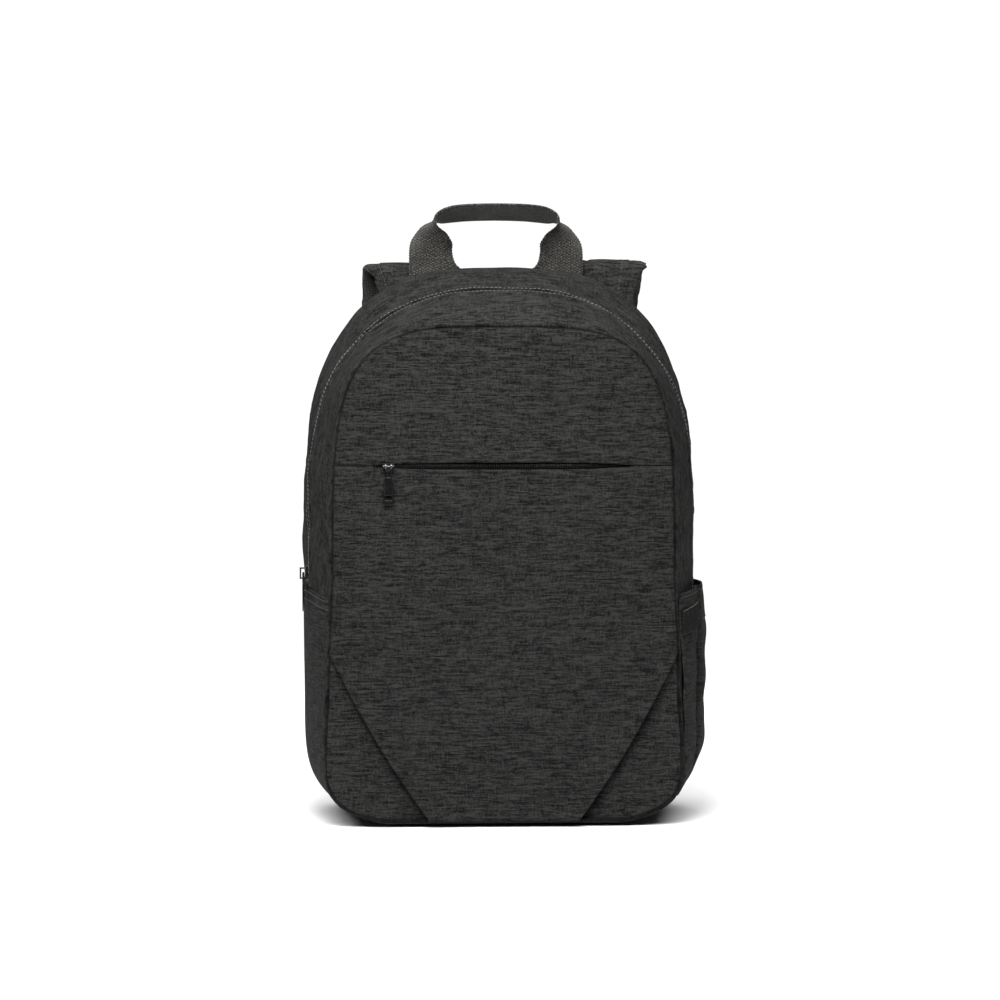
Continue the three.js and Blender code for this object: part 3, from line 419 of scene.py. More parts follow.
class Graph:
    """Adds nodes to a tree, from a type, settings that are set first, and socket values or links."""

    def __init__(self, tree):
        self.tree = tree
        tree.nodes.clear()

    def node(self, kind, settings=None, inputs=None, out=0):
        made = self.tree.nodes.new(kind)
        for key, value in (settings or {}).items():
            setattr(made, key, value)
        for key, value in (inputs or {}).items():
            socket = self.find(made.inputs, key)
            if isinstance(value, Wire):
                self.tree.links.new(value.socket, socket)
            else:
                socket.default_value = value
        return Wire(self, self.find(made.outputs, out)) if made.outputs else made

    @staticmethod
    def find(sockets, key):
        if isinstance(key, int):
            return sockets[key]
        return next(s for s in sockets if key in (s.identifier, s.name))


class Wire:
    """One output socket. Arithmetic on it adds Math nodes."""

    def __init__(self, graph, socket):
        self.graph = graph
        self.socket = socket

    def math(self, operation, *others):
        return self.graph.node("ShaderNodeMath", {"operation": operation}, dict(enumerate((self, *others))))

    def __add__(self, other):
        return self.math("ADD", other)

    def __mul__(self, other):
        return self.math("MULTIPLY", other)

    def __sub__(self, other):
        return self.math("SUBTRACT", other)

    def __truediv__(self, other):
        return self.math("DIVIDE", other)

    def between(self, low, high):
        """0 below low, 1 above high, smooth between them."""
        settings = {"interpolation_type": "SMOOTHSTEP"}
        return self.graph.node("ShaderNodeMapRange", settings, {"Value": self, 1: low, 2: high})


class Finish(Graph):
    """One procedural material."""

    def __init__(self, name):
        self.material = bpy.data.materials.new(name)
        self.material.use_nodes = True
        super().__init__(self.material.node_tree)

    def weave_place(self):
        return self.node("ShaderNodeUVMap", {"uv_map": "weave"})

    def object_place(self):
        return self.node("ShaderNodeTexCoord", out="Object")

    def stretched(self, place, cell, seed=0.0):
        """A place counted in cells of the given millimetres, moved by the seed."""
        cell = cell if isinstance(cell, tuple) else (cell, cell, cell)
        scale = tuple(1 / (size * MM) for size in cell)
        inputs = {"Vector": place, "Scale": scale, "Location": (seed * 7.3, seed * 3.1, seed)}
        return self.node("ShaderNodeMapping", None, inputs)

    def noise(self, place, cell, seed=0.0, detail=2.0):
        return self.plain_noise(self.stretched(place, cell, seed), detail, 0.55)

    def plain_noise(self, place, detail, roughness):
        inputs = {"Vector": place, "Scale": 1.0, "Detail": detail, "Roughness": roughness}
        return self.node("ShaderNodeTexNoise", None, inputs)

    def axes(self, place):
        separate = self.node("ShaderNodeSeparateXYZ", None, {0: place})
        sockets = separate.socket.node.outputs
        return [Wire(self, socket) for socket in sockets]

    def waves(self, place, pitch):
        return (place * (2 * math.pi / pitch)).math("SINE")

    def tones(self, factor, level, low, high, warmth=0.0):
        """Colour between two shares of a level of grey."""
        return self.mixed(factor, grey(level * low, warmth), grey(level * high, warmth))

    def mixed(self, factor, low, high):
        inputs = {"Factor_Float": factor, "A_Color": low, "B_Color": high}
        return self.node("ShaderNodeMix", {"data_type": "RGBA"}, inputs, out="Result_Color")

    def bump(self, height, distance):
        inputs = {"Height": height, "Distance": distance, "Strength": 1.0}
        return self.node("ShaderNodeBump", None, inputs)

    def surface(self, base, roughness, normal=None, **fixed):
        inputs = {"Base Color": base, "Roughness": roughness}
        if normal is not None:
            inputs["Normal"] = normal
        inputs.update({key.replace("_", " "): value for key, value in fixed.items()})
        shader = self.node("ShaderNodeBsdfPrincipled", None, inputs)
        self.node("ShaderNodeOutputMaterial", None, {"Surface": shader})
        return self.material


def grey(level, warmth=0.0):
    """Linear colour of a grey, a little warmer than neutral."""
    return (level * (1 + warmth * 0.5), level, level * (1 - warmth), 1)


# Finishes

def threads(f, place, pitch, length, seed, upright=False):
    """Tone of single threads lying side by side, each broken into lighter and darker lengths."""
    x, y, _ = f.axes(place)
    along, across = (y, x) if upright else (x, y)
    row = (across / pitch).math("FLOOR")
    spot = {"X": along / length, "Y": row * 3.71 + seed * 17.3, "Z": row * 1.37}
    return f.plain_noise(f.node("ShaderNodeCombineXYZ", None, spot), 1.0, 0.6)


def thread_cells(f, place):
    """Flat random tone for each crossing of the threads."""
    x, y, _ = f.axes(place)
    row = (y / (0.72 * MM)).math("FLOOR")
    column = (x / (0.85 * MM) + row * 0.37).math("FLOOR")
    spot = f.node("ShaderNodeCombineXYZ", None, {"X": column, "Y": row, "Z": 2.0})
    return f.node("ShaderNodeTexWhiteNoise", {"noise_dimensions": "3D"}, {"Vector": spot})


def melange(name, level=0.0124):
    """Two-tone polyester: broken light and dark threads, mostly across, with a few up the cloth, darkened by
    painted shade where a point attribute asks for it.
    """
    f = Finish(name)
    place = f.weave_place()
    weft = threads(f, place, 1.0 * MM, 14 * MM, 1.0)
    slubs = threads(f, place, 0.8 * MM, 5 * MM, 5.0)
    warp = threads(f, place, 0.85 * MM, 6 * MM, 3.0, True)
    cells = thread_cells(f, place)
    blend = weft * 1.5 + slubs * 1.1 + warp * 0.75 + cells * 0.42
    tone = (blend - 1.885) * 1.25 + 0.5
    colour = f.tones(tone, level, 0.3, 2.15, 0.03)
    # Painted shade: the point attribute mixes the colour towards near black in seams, under folds and in the
    # pleat
    crease = f.node("ShaderNodeAttribute", {"attribute_name": "crease"}, out="Fac")
    colour = f.mixed(crease, colour, grey(level * 0.12, 0.03))
    height = cells * 0.4 + weft * 0.9 + slubs * 0.7 + warp * 0.7
    rough = cells * 0.08 + 0.8
    return f.surface(colour, rough, f.bump(height, 0.2 * MM), Sheen_Weight=0.01, Sheen_Roughness=0.6,
                     Specular_IOR_Level=0.03)


def basket_webbing(name):
    """Coarse webbing whose relief is in the mesh: worn light yarns over a dark ground, with painted shade in
    the hollows of the weave.
    """
    level = 0.0195
    f = Finish(name)
    place = f.weave_place()
    yarn = f.noise(place, (1.1, 1.3, 1), 1.0)
    fibres = f.noise(place, (0.35, 1.6, 1), 2.0)
    wear = f.noise(place, (14, 20, 1), 3.0, 1.0)
    tone = (yarn * 1.5 + fibres * 0.8 + wear * 0.4 - 1.35) * 3.0 + 0.42
    tone = tone.between(-0.2, 1.3)
    # Painted shade: the weave's height scales the tone, so the hollows between yarns are painted dark
    relief = f.node("ShaderNodeAttribute", {"attribute_name": "relief"}, out="Fac")
    colour = f.mixed(tone * (relief * 0.85 + 0.15), grey(level * 0.16, 0.2), grey(level * 5.2, 0.12))
    return f.surface(colour, 0.78, f.bump(fibres, 0.2 * MM), Sheen_Weight=0.1, Sheen_Roughness=0.5,
                     Specular_IOR_Level=0.3)


def flat_webbing(name, level=0.014):
    """Narrow flat webbing: fine ribs across and a twill of small yarns."""
    f = Finish(name)
    place = f.weave_place()
    x, y, _ = f.axes(place)
    ribs = f.waves(y, 1.5 * MM)
    yarns = (x * (2 * math.pi / (0.9 * MM)) + ribs * 0.8).math("SINE")
    wear = f.noise(place, (2.4, 1.4, 1), 1.0)
    tone = (ribs * 0.16 + yarns * 0.12 + wear * 1.2 - 0.1).between(-0.1, 1.1)
    colour = f.mixed(tone, grey(level * 0.4, 0.08), grey(level * 1.9, 0.1))
    return f.surface(colour, 0.7, f.bump(ribs * 0.6 + yarns * 0.4, 0.25 * MM), Sheen_Weight=0.02,
                     Specular_IOR_Level=0.12)


def spacer_mesh(name):
    """Open knitted padding mesh with small holes."""
    level = 0.006
    f = Finish(name)
    place = f.weave_place()
    x, y, _ = f.axes(place)
    cell = 2.4 * MM
    holes = (f.waves(x + y * 0.6, cell) * f.waves(x - y * 0.6, cell)).between(0.1, 0.75)
    fuzz = f.noise(place, (0.7, 0.7, 1), 1.0)
    colour = f.tones(holes, level, 1.7, 0.25, 0.04)
    return f.surface(colour, 0.85, f.bump(fuzz * 0.3 - holes, 0.5 * MM), Sheen_Weight=0.15,
                     Specular_IOR_Level=0.2)


def tape_finish(name):
    """Woven zip tape with a fine twill."""
    level = 0.004
    f = Finish(name)
    place = f.weave_place()
    x, y, _ = f.axes(place)
    twill = f.waves(x + y, 0.8 * MM)
    lint = f.noise(place, (0.9, 0.6, 1), 1.0)
    colour = f.tones(lint, level, 0.5, 1.6, 0.1)
    return f.surface(colour, 0.75, f.bump(twill, 0.12 * MM), Specular_IOR_Level=0.3)


def coil_finish(name):
    """Moulded nylon coil."""
    level = 0.005
    f = Finish(name)
    scuffs = f.noise(f.object_place(), 1.5, 1.0)
    colour = f.tones(scuffs, level, 0.6, 1.5, 0.05)
    return f.surface(colour, scuffs * 0.2 + 0.32, f.bump(scuffs, 0.05 * MM))


def thread_finish(name, level=0.11):
    """Twisted sewing thread."""
    f = Finish(name)
    twist = f.noise(f.object_place(), 0.5, 1.0, 1.0)
    colour = f.tones(twist, level, 0.5, 1.5, 0.06)
    return f.surface(colour, 0.6, f.bump(twist, 0.06 * MM), Sheen_Weight=0.1)


def enamel(name):
    """Glossy black enamel on die-cast metal, with fine scuffs."""
    level = 0.004
    f = Finish(name)
    place = f.object_place()
    scuffs = f.noise(place, (2, 2, 7), 1.0, 3.0)
    pits = f.noise(place, 0.6, 2.0)
    colour = f.tones(scuffs.between(0.55, 0.8), level, 1, 2.4)
    rough = scuffs.between(0.35, 0.75) * 0.16 + 0.16
    return f.surface(colour, rough, f.bump(pits + scuffs, 0.035 * MM), Coat_Weight=0.6, Coat_Roughness=0.12)


def buckle_finish(name):
    """Black acetal with a fine moulded grain."""
    level = 0.011
    f = Finish(name)
    place = f.object_place()
    grain = f.noise(place, 0.35, 1.0)
    scuffs = f.noise(place, 6, 2.0, 3.0)
    colour = f.tones(scuffs, level, 0.8, 1.4)
    return f.surface(colour, scuffs * 0.2 + 0.38, f.bump(grain, 0.04 * MM))


# Geometry node trees

def grouped_tree(name, sizes):
    """New geometry tree with a mesh input, named sizes and a material, and the graph that fills it."""
    tree = bpy.data.node_groups.new(name, "GeometryNodeTree")
    tree.interface.new_socket("Geometry", in_out="INPUT", socket_type="NodeSocketGeometry")
    tree.interface.new_socket("Geometry", in_out="OUTPUT", socket_type="NodeSocketGeometry")
    for size in sizes:
        tree.interface.new_socket(size, in_out="INPUT", socket_type="NodeSocketFloat")
    tree.interface.new_socket("Finish", in_out="INPUT", socket_type="NodeSocketMaterial")
    graph = Graph(tree)
    entry = graph.node("NodeGroupInput")
    inputs = {socket.name: Wire(graph, socket) for socket in entry.socket.node.outputs if socket.name}
    return graph, inputs


def end_tree(graph, geometry, finish):
    real = graph.node("GeometryNodeRealizeInstances", None, {"Geometry": geometry})
    painted = graph.node("GeometryNodeSetMaterial", None, {"Geometry": real, "Material": finish})
    graph.node("NodeGroupOutput", None, {"Geometry": painted})
    return graph.tree


def along_and_out(graph):
    """Rotation whose X runs along the line and whose Z stands out of the surface."""
    tangent = graph.node("GeometryNodeInputTangent")
    out = graph.node("GeometryNodeInputNamedAttribute", {"data_type": "FLOAT_VECTOR"}, {"Name": "out"})
    first = graph.node("FunctionNodeAlignRotationToVector", {"axis": "X"}, {"Vector": tangent})
    settings = {"axis": "Z", "pivot_axis": "X"}
    return graph.node("FunctionNodeAlignRotationToVector", settings, {"Rotation": first, "Vector": out}), out


def row_tree(name, sizes, shape):
    """Tree that sets one shape along a line each pitch. shape gives the piece and how it is scaled."""
    graph, given = grouped_tree(name, sizes)
    curve = graph.node("GeometryNodeMeshToCurve", None, {"Mesh": given["Geometry"]})
    inputs = {"Curve": curve, "Length": given["Pitch"]}
    evened = graph.node("GeometryNodeResampleCurve", {"mode": "LENGTH"}, inputs)
    turn, out = along_and_out(graph)
    inputs = {"Vector": out, "Scale": given["Lift"]}
    lift = graph.node("ShaderNodeVectorMath", {"operation": "SCALE"}, inputs)
    raised = graph.node("GeometryNodeSetPosition", None, {"Geometry": evened, "Offset": lift})
    one, scale = shape(graph, given)
    inputs = {"Points": raised, "Instance": one, "Rotation": turn, "Scale": scale}
    row = graph.node("GeometryNodeInstanceOnPoints", None, inputs)
    return end_tree(graph, row, given["Finish"])


def stitch(graph, given):
    """Small pillow of thread."""
    pillow = graph.node("GeometryNodeMeshUVSphere", None, {"Segments": 6, "Rings": 4, "Radius": 0.5})
    size = {"X": given["Length"], "Y": given["Gauge"], "Z": given["Gauge"] * 0.8}
    return pillow, graph.node("ShaderNodeCombineXYZ", None, size)


def coil_loop(graph, given):
    """Bent loop of nylon across the line."""
    inputs = {"Resolution": 7, "Radius": given["Width"] / 2, "Start Angle": 0.0, "Sweep Angle": math.pi}
    arc = graph.node("GeometryNodeCurveArc", {"mode": "RADIUS"}, inputs)
    bent = graph.node("GeometryNodeTransform", None, {"Geometry": arc, "Scale": (1.0, COIL_FLATNESS, 1.0)})
    inputs = {"Resolution": 5, "Radius": given["Gauge"] / 2}
    wire = graph.node("GeometryNodeCurvePrimitiveCircle", {"mode": "RADIUS"}, inputs)
    loop = graph.node("GeometryNodeCurveToMesh", None, {"Curve": bent, "Profile Curve": wire})
    upright = {"Geometry": loop, "Rotation": (math.pi / 2, 0.0, math.pi / 2)}
    return graph.node("GeometryNodeTransform", None, upright), (1.0, 1.0, 1.0)


def follow(name, tree, lines, sizes, material):
    """Plain mesh of a tree run along lines, each a pair of points and outward directions."""
    points, outs, edges = [], [], []
    for line, out in lines:
        start = len(points)
        points.extend(line.tolist())
        outs.extend(out.tolist())
        edges.extend((start + i, start + i + 1) for i in range(len(line) - 1))
    mesh = bpy.data.meshes.new(name + "_line")
    mesh.from_pydata(points, edges, [])
    attribute = mesh.attributes.new("out", "FLOAT_VECTOR", "POINT")
    attribute.data.foreach_set("vector", np.array(outs, np.float32).ravel())
    guide = new_object(name + "_line", mesh)
    modifier = guide.modifiers.new("row", "NODES")
    modifier.node_group = tree
    sockets = {item.name: item.identifier for item in tree.interface.items_tree if item.in_out == "INPUT"}
    for key, value in sizes.items():
        modifier[sockets[key]] = value
    modifier[sockets["Finish"]] = material
    made = evaluated_mesh(guide)
    bpy.data.objects.remove(guide)
    shade_smooth(made)
    return new_object(name, made)


def stitches(name, lines, sizes, thread, slot="shell_fabric"):
    """Stitches along lines. sizes are their pitch, length, gauge and lift in millimetres."""
    given = {key: size * MM for key, size in zip(("Pitch", "Length", "Gauge", "Lift"), sizes)}
    place(follow(name, STITCHES, lines, given, thread), slot=slot)


def teeth(node, line, sizes, coil):
    """Coil of a zip along a line. sizes are its pitch, width and gauge in millimetres."""
    given = {key: size * MM for key, size in zip(("Pitch", "Width", "Gauge", "Lift"), (*sizes, 0))}
    place(follow(node + "_teeth", COIL, [line], given, coil), slot="zip_coil", instead_of=[node])


def place(piece, body="root", slot=None, instead_of=()):
    """Hands a finished piece to the frame."""
    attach(piece, body)
    if instead_of:
        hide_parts(*instead_of)


# Shell of the bag

MIDDLE = np.array((0.0, 0.0, 0.2))
LIP_STITCH_INSET = 1.5 * MM


def ring_grid(start, end, steps):
    """Grid around the bag between two shares of depth that may change with the height."""
    columns = np.arange(AROUND + 1) % AROUND
    height = RINGS[int(ZIP_SHARE * DEPTH_STEPS), columns, 1]
    depth = mix(start(height)[:, None], end(height)[:, None], steps[None, :])
    return bag_points(depth, np.broadcast_to(columns[:, None], depth.shape))


def ring_normals(points):
    """Outward normals of a ring grid, with its first and last rows the same."""
    down = np.empty_like(points)
    down[1:-1] = points[2:] - points[:-2]
    down[0] = down[-1] = points[1] - points[-2]
    normal = unit(np.cross(down, np.gradient(points, axis=1)))
    return normal if ((points - MIDDLE) * normal).sum() > 0 else -normal


def lip_half_gap(height):
    opened = np.clip((height - ZIP_END_HEIGHT) / ZIP_RUN_OUT + 1, 0, 1)
    gap = mix(ZIP_LIP_GAP, ZIP_CLOSED_GAP, smooth(SLIDER_TOP, SLIDER_TOP + 24 * MM, height))
    return mix(CLEARANCE, gap, opened) / 2


def ring_lengths(points):
    """Distance around the bag at each row, and along each row from its first column."""
    middle = points[:, points.shape[1] // 2]
    around = along_lengths(middle)
    steps = np.linalg.norm(np.diff(points, axis=1), axis=-1)
    across = np.concatenate((np.zeros((len(points), 1)), np.cumsum(steps, axis=1)), axis=1)
    return around, across


def puckers(seed, around, spacing):
    """Little gathers along a seam, by distance along it."""
    rng = np.random.default_rng(seed)
    total = 0
    for scale in (0.8, 1.0, 1.37, 1.9):
        total = total + np.sin(around * 2 * math.pi / (spacing * scale) + rng.uniform(0, 6.28))
    return total / 2


def side_creases(points):
    """Slanted soft creases on the sides, where the cloth hangs from the seams."""
    y, z = points[..., 1], points[..., 2]
    sides = smooth(0.115, 0.14, np.abs(points[..., 0])) * smooth(0.05, 0.1, z)
    bent = ripples(5, 60 * MM, points) * 0.9
    first = np.sin((z * 1.0 + y * 0.9) * 2 * math.pi / (31 * MM) + bent)
    second = np.sin((z * 0.8 - y * 1.3) * 2 * math.pi / (43 * MM) + bent * 1.3)
    return (np.maximum(first, 0) ** 2 * 0.5 + np.maximum(second, 0) ** 2 * 0.45) * sides * MM


def lip_relief(from_lip, folded):
    """Folded lip beside the zip, with a sewn line behind it."""
    lift = smooth(5.6 * MM, 4.2 * MM, from_lip) * folded
    lift -= smooth(1.3 * MM, 0, from_lip) * 0.35 * MM
    lift -= hump(from_lip, 6.2 * MM, 2.6 * MM) * 0.3 * MM
    return lift


def gathers(seed, around, spacing, height, off_seam, reach):
    """Little gathers that die away from a seam."""
    return puckers(seed, around[:, None], spacing) * height * np.exp(-off_seam / reach)


def gusset_relief(points, around, from_lip, from_seam, seed, folded):
    """How far a gusset's cloth stands out of the bag's plain form."""
    height = points[..., 2]
    above_floor = smooth(0.002, 0.03, height)
    lift = ripples(seed, 70 * MM, points) * 0.45 * MM + ripples(seed + 1, 24 * MM, points) * 0.14 * MM
    lift += gathers(seed + 2, around, 7.5 * MM, 0.16 * MM, from_lip, 9 * MM)
    lift += gathers(seed + 3, around, 9 * MM, 0.14 * MM, from_seam, 8 * MM)
    lift *= above_floor
    lift += lip_relief(from_lip, folded) * smooth(ZIP_END_HEIGHT - ZIP_RUN_OUT, ZIP_END_HEIGHT, height)
    lift += side_creases(points) * smooth(3 * MM, 9 * MM, np.minimum(from_lip, from_seam))
    return lift + hump(from_seam, 3.6 * MM, 6.5 * MM) * 0.85 * MM + rolled(from_seam, 1.9 * MM) * 2.1 * MM


def gusset(node, start, end, steps, seed, seam_at_end, finish):
    """One ring of cloth: soft waves, a folded lip along the zip and a rolled edge at its other seam."""
    points = ring_grid(start, end, steps)
    normal = ring_normals(points)
    around, across = ring_lengths(points)
    total = across[:, -1:]
    from_seam = total - across if seam_at_end else across
    from_lip = total - from_seam
    folded = 1.1 * MM if seam_at_end else 0.35 * MM
    lift = gusset_relief(points, around, from_lip, from_seam, seed, folded)
    face = points + normal * lift[..., None]
    face[-1] = face[0]
    face[..., 2] = np.maximum(face[..., 2], 0)
    uv = paired(around[:, None], -face[..., 1])
    rim = np.minimum(from_seam, from_lip)
    # Painted shade along the gusset's seam
    shade = seam_shade(from_seam)
    piece = cloth_piece(node + "_cloth", face, normal, CLOTH_WALL, rim, uv, finish, True, shade)
    place(piece, slot="shell_fabric", instead_of=[node])
    inset = np.argmin(np.abs(from_lip[AROUND // 2] - LIP_STITCH_INSET))
    rows = np.nonzero(points[:, inset, 2] > ZIP_END_HEIGHT - ZIP_RUN_OUT)[0]
    return face[rows, inset], normal[rows, inset]


def gussets(finish):
    """Rear and front gusset, and the line along the lip of each for its stitches."""
    def lip(side):
        return lambda z: ZIP_SHARE + side * lip_half_gap(z) / seam_depth(z)
    rear = (lambda z: 0 * z, lip(-1), spaced(83 * MM, 1.9 * MM), 11, False)
    front = (lip(1), lambda z: 0 * z + 1, spaced(44 * MM, 1.5 * MM), 21, True)
    return [gusset("rear_gusset", *rear, finish), gusset("front_gusset", *front, finish)]


# Front panels

FRONT = half_outline(1.0)
FRONT_CENTRE_Z = FRONT[-1, 1] / 2
FRONT_CREST = FRONT[-1, 1]
FRONT_LIFT = FRONT[0, 1]
SLIT_CORNER_X = float(half_width(1.0, SLIT_HEIGHT))
SLIT_HALF = SLIT_CORNER_X - SLIT_END_INSET
FRONT_INSET = 0.4 * MM


def front_share(x, z):
    """How far a point of the front lies from its centre, as a share of the way to the seam."""
    low = np.zeros_like(x)
    high = np.full_like(x, 40.0)
    for _ in range(34):
        s = (low + high) / 2
        zz = FRONT_CENTRE_Z + (z - FRONT_CENTRE_Z) * s
        inside = (zz > FRONT_LIFT) & (zz < FRONT_CREST) & (np.abs(x) * s < half_width(1.0, zz))
        low = np.where(inside, s, low)
        high = np.where(inside, high, s)
    return 1 / np.maximum(low, 1e-6)


def front_y(x, z):
    """Outer surface of the front, before its seams and folds."""
    rim = depth_y(1, z) - CLEARANCE - CLOTH_WALL
    crown = CROWN_DEPTH * (1 - np.minimum(front_share(x, z), 1) ** CROWN_POWER)
    return rim - crown


FRONT_WHOLE = np.concatenate((FRONT, FRONT[-2::-1] * (-1, 1)))
FRONT_SEAM = resample(FRONT_WHOLE, np.linspace(0, 1, 1600))


def front_relief(x, z, from_seam, seed):
    """How far the cloth of the front stands out of its plain form."""
    spot = np.stack((x, 0 * x, z), -1)
    out = ripples(seed, 85 * MM, spot) * 0.4 * MM + ripples(seed + 1, 28 * MM, spot) * 0.1 * MM
    out = out * smooth(0, 25 * MM, from_seam)
    out += hump(from_seam, 3.6 * MM, 6 * MM) * 0.6 * MM
    out += rolled(from_seam, 2.2 * MM) * 2.6 * MM
    around = np.arctan2(x, z - FRONT_CENTRE_Z) * 170 * MM
    return out + puckers(seed + 2, around, 7.5 * MM) * 0.1 * MM * np.exp(-from_seam / (8 * MM))


def front_normals(x, z):
    step = 0.2 * MM
    slope_x = (front_y(x + step, z) - front_y(x - step, z)) / (2 * step)
    slope_z = (front_y(x, z + step) - front_y(x, z - step)) / (2 * step)
    return unit(np.stack((slope_x, -np.ones_like(x), slope_z), -1))


def front_piece(name, node, flat, edges, extra, seed, finish, push=0.0, shadowed_fold=None):
    """Panel of the front from a grid of (x, z). edges are its border lines, and extra gives more relief. A
    fold line given last gets painted shadow beneath it.
    """
    x, z = flat[..., 0], flat[..., 1]
    from_seam = distance_to(FRONT_SEAM, flat)
    rim = np.minimum(distance_to(edges, flat), 20 * MM)
    out = front_relief(x, z, from_seam, seed) + extra(x, z)
    y = front_y(x, z) + push - out
    normal = front_normals(x, z)
    face = np.stack((x, y, z), -1)
    # Painted shade along the front's seam
    crease = seam_shade(from_seam)
    if shadowed_fold is not None:
        # Painted shadow beneath the centre panel's folded edge, stronger on the right and fading towards the
        # top
        under = np.where(x > 0, 0.85, 0.5) * smooth(0.13, 0.075, z)
        crease = np.maximum(crease, np.exp(-distance_to(shadowed_fold, flat) / (3 * MM)) * under)
    piece = cloth_piece(name + "_cloth", face, normal, CLOTH_WALL, rim, flat, finish, False, crease)
    place(piece, slot="shell_fabric", instead_of=[node])


def slit_half_opening(x):
    t = np.minimum(np.abs(x) / SLIT_HALF, 1)
    return np.maximum(SLIT_OPENING / 2 * (1 - t ** 4), SEAM_GAP / 2)


def ruled(first, second, across):
    """Grid between two lines that have the same number of points."""
    return first[:, None] + (second - first)[:, None] * across[None, :, None]


def dense(*lines):
    return np.concatenate([resample(line, np.linspace(0, 1, 900)) for line in lines])


def side_of_front(low, high, count=200):
    """Right edge of the front between two heights."""
    z = np.linspace(low, high, count)
    return np.stack((half_width(1.0, z) - FRONT_INSET, z), -1)


def fold_line(shift=0.0):
    """Slanted edge of the centre panel, from its foot to the side seam."""
    t = np.linspace(0, 1, 300)
    bow = FOLD_BOW * 4 * t * (1 - t)
    top = float(half_width(1.0, FOLD_TOP_HEIGHT)) - FRONT_INSET
    foot = FRONT_LIFT / FOLD_TOP_HEIGHT
    rise = mix(foot, 1, t)
    return np.stack((mix(FOLD_FOOT_X, top, rise) + bow + shift, FOLD_TOP_HEIGHT * rise - bow / 2), -1)


def upper_panel(finish):
    arch = FRONT_WHOLE[FRONT_WHOLE[:, 1] > SLIT_HEIGHT] * (1 - FRONT_INSET / 0.13, 1) - (0, FRONT_INSET)
    corner = np.array([(SLIT_CORNER_X - FRONT_INSET, SLIT_HEIGHT + SEAM_GAP / 2)])
    arch = np.concatenate((corner, arch, corner * (-1, 1)))
    x = np.linspace(corner[0, 0], -corner[0, 0], 1200)
    lip = np.stack((x, SLIT_HEIGHT + slit_half_opening(x)), -1)
    lip[0] = arch[0]
    lip[-1] = arch[-1]
    along = spaced(0.44, 1.7 * MM, 0.5 * MM)
    across = spaced(0.1, 1.5 * MM)
    grid = ruled(resample(lip, along), resample(arch, along), across)

    def relief(x, z):
        above = z - SLIT_HEIGHT
        return hump(above, 6 * MM, 10 * MM) * 0.5 * MM - smooth(2.4 * MM, 0, above) * 0.3 * MM

    front_piece("upper_panel", "front_panel_upper", grid, dense(lip, arch), relief, 31, finish)


def lower_panel(finish):
    seam = side_of_front(FOLD_TOP_HEIGHT, SLIT_HEIGHT - SEAM_GAP / 2)
    right = np.concatenate((fold_line(-SEAM_GAP), seam[1:]))
    levels = resample(right, spaced(0.31, 1.8 * MM))
    across = spaced(0.25, 1.7 * MM)
    grid = ruled(levels * (-1, 1), levels, across)
    below = SLIT_HEIGHT - grid[..., 1]
    grid[..., 1] -= (slit_half_opening(grid[..., 0]) - SEAM_GAP / 2) * np.exp(-below / (14 * MM))
    x = np.linspace(-SLIT_CORNER_X, SLIT_CORNER_X, 1200)
    lip = np.stack((x, SLIT_HEIGHT - slit_half_opening(x)), -1)
    foot = np.array(((-FOLD_FOOT_X, FRONT_LIFT), (FOLD_FOOT_X, FRONT_LIFT)))
    edges = dense(right, right * (-1, 1), lip, foot)
    folds = {side: dense(fold_line() * (side, 1)) for side in (-1, 1)}

    def relief(x, z):
        under = SLIT_HEIGHT - z
        out = hump(under, 7 * MM, 12 * MM) * 0.35 * MM - smooth(2.4 * MM, 0, under) * 0.5 * MM
        spot = np.stack((x, z), -1)
        for side, lie in ((-1, 0.8), (1, 1.6)):
            near = distance_to(folds[side], spot)
            low = smooth(FOLD_TOP_HEIGHT + 4 * MM, FOLD_TOP_HEIGHT - 30 * MM, z)
            out += lie * MM * np.exp(-near / (13 * MM)) * low
            out -= 0.5 * MM * np.exp(-near / (1.2 * MM)) * low
        return out

    front_piece("lower_panel", "front_panel_lower", grid, edges, relief, 41, finish)


def corner_panel(side, finish):
    name = "corner_panel_right" if side > 0 else "corner_panel_left"
    rim_line = FRONT[(FRONT[:, 1] <= FOLD_TOP_HEIGHT) & (FRONT[:, 0] >= FOLD_FOOT_X * 0.9)]
    rim_line = rim_line - (FRONT_INSET, -FRONT_INSET)
    fold = fold_line(SEAM_GAP - 3 * MM)
    fold[-1] = rim_line[-1]
    along = spaced(0.16, 1.6 * MM, 0.5 * MM)
    across = spaced(0.05, 1.5 * MM)
    grid = ruled(resample(fold, along), resample(rim_line, along), across) * (side, 1)
    line = dense(fold_line() * (side, 1))
    deep = 3.4 if side > 0 else 2.0

    def relief(x, z):
        near = distance_to(line, np.stack((x, z), -1))
        low = smooth(FOLD_TOP_HEIGHT, FOLD_TOP_HEIGHT - 45 * MM, z)
        return -deep * MM * np.exp(-near / (26 * MM)) * mix(0.35, 1, low)

    edges = dense(fold * (side, 1), rim_line * (side, 1))
    push = CORNER_RECESS + CLOTH_WALL * 0.8
    # The fold line gets painted shadow on this corner panel
    front_piece(name, name, grid, edges, relief, 51 + side, finish, push, line)


# Side pockets

def side_points(side, depth, height, off):
    """Points beside the bag at shares of depth and heights, off from its skin."""
    def at(d):
        return half_width(d, height), depth_y(d, height)
    x, y = at(depth)
    xa, ya = at(np.maximum(depth - 0.01, 0))
    xb, yb = at(np.minimum(depth + 0.01, 1))
    length = np.hypot(xb - xa, yb - ya)
    out_x = -(yb - ya) / length
    out_y = (xb - xa) / length
    return np.stack((side * (x + out_x * off), y + out_y * off, height), -1)


def pocket_top(front, rear, depth):
    return mix(front, rear, np.clip((1 - depth) / POCKET_TOP_RUN, 0, 1))


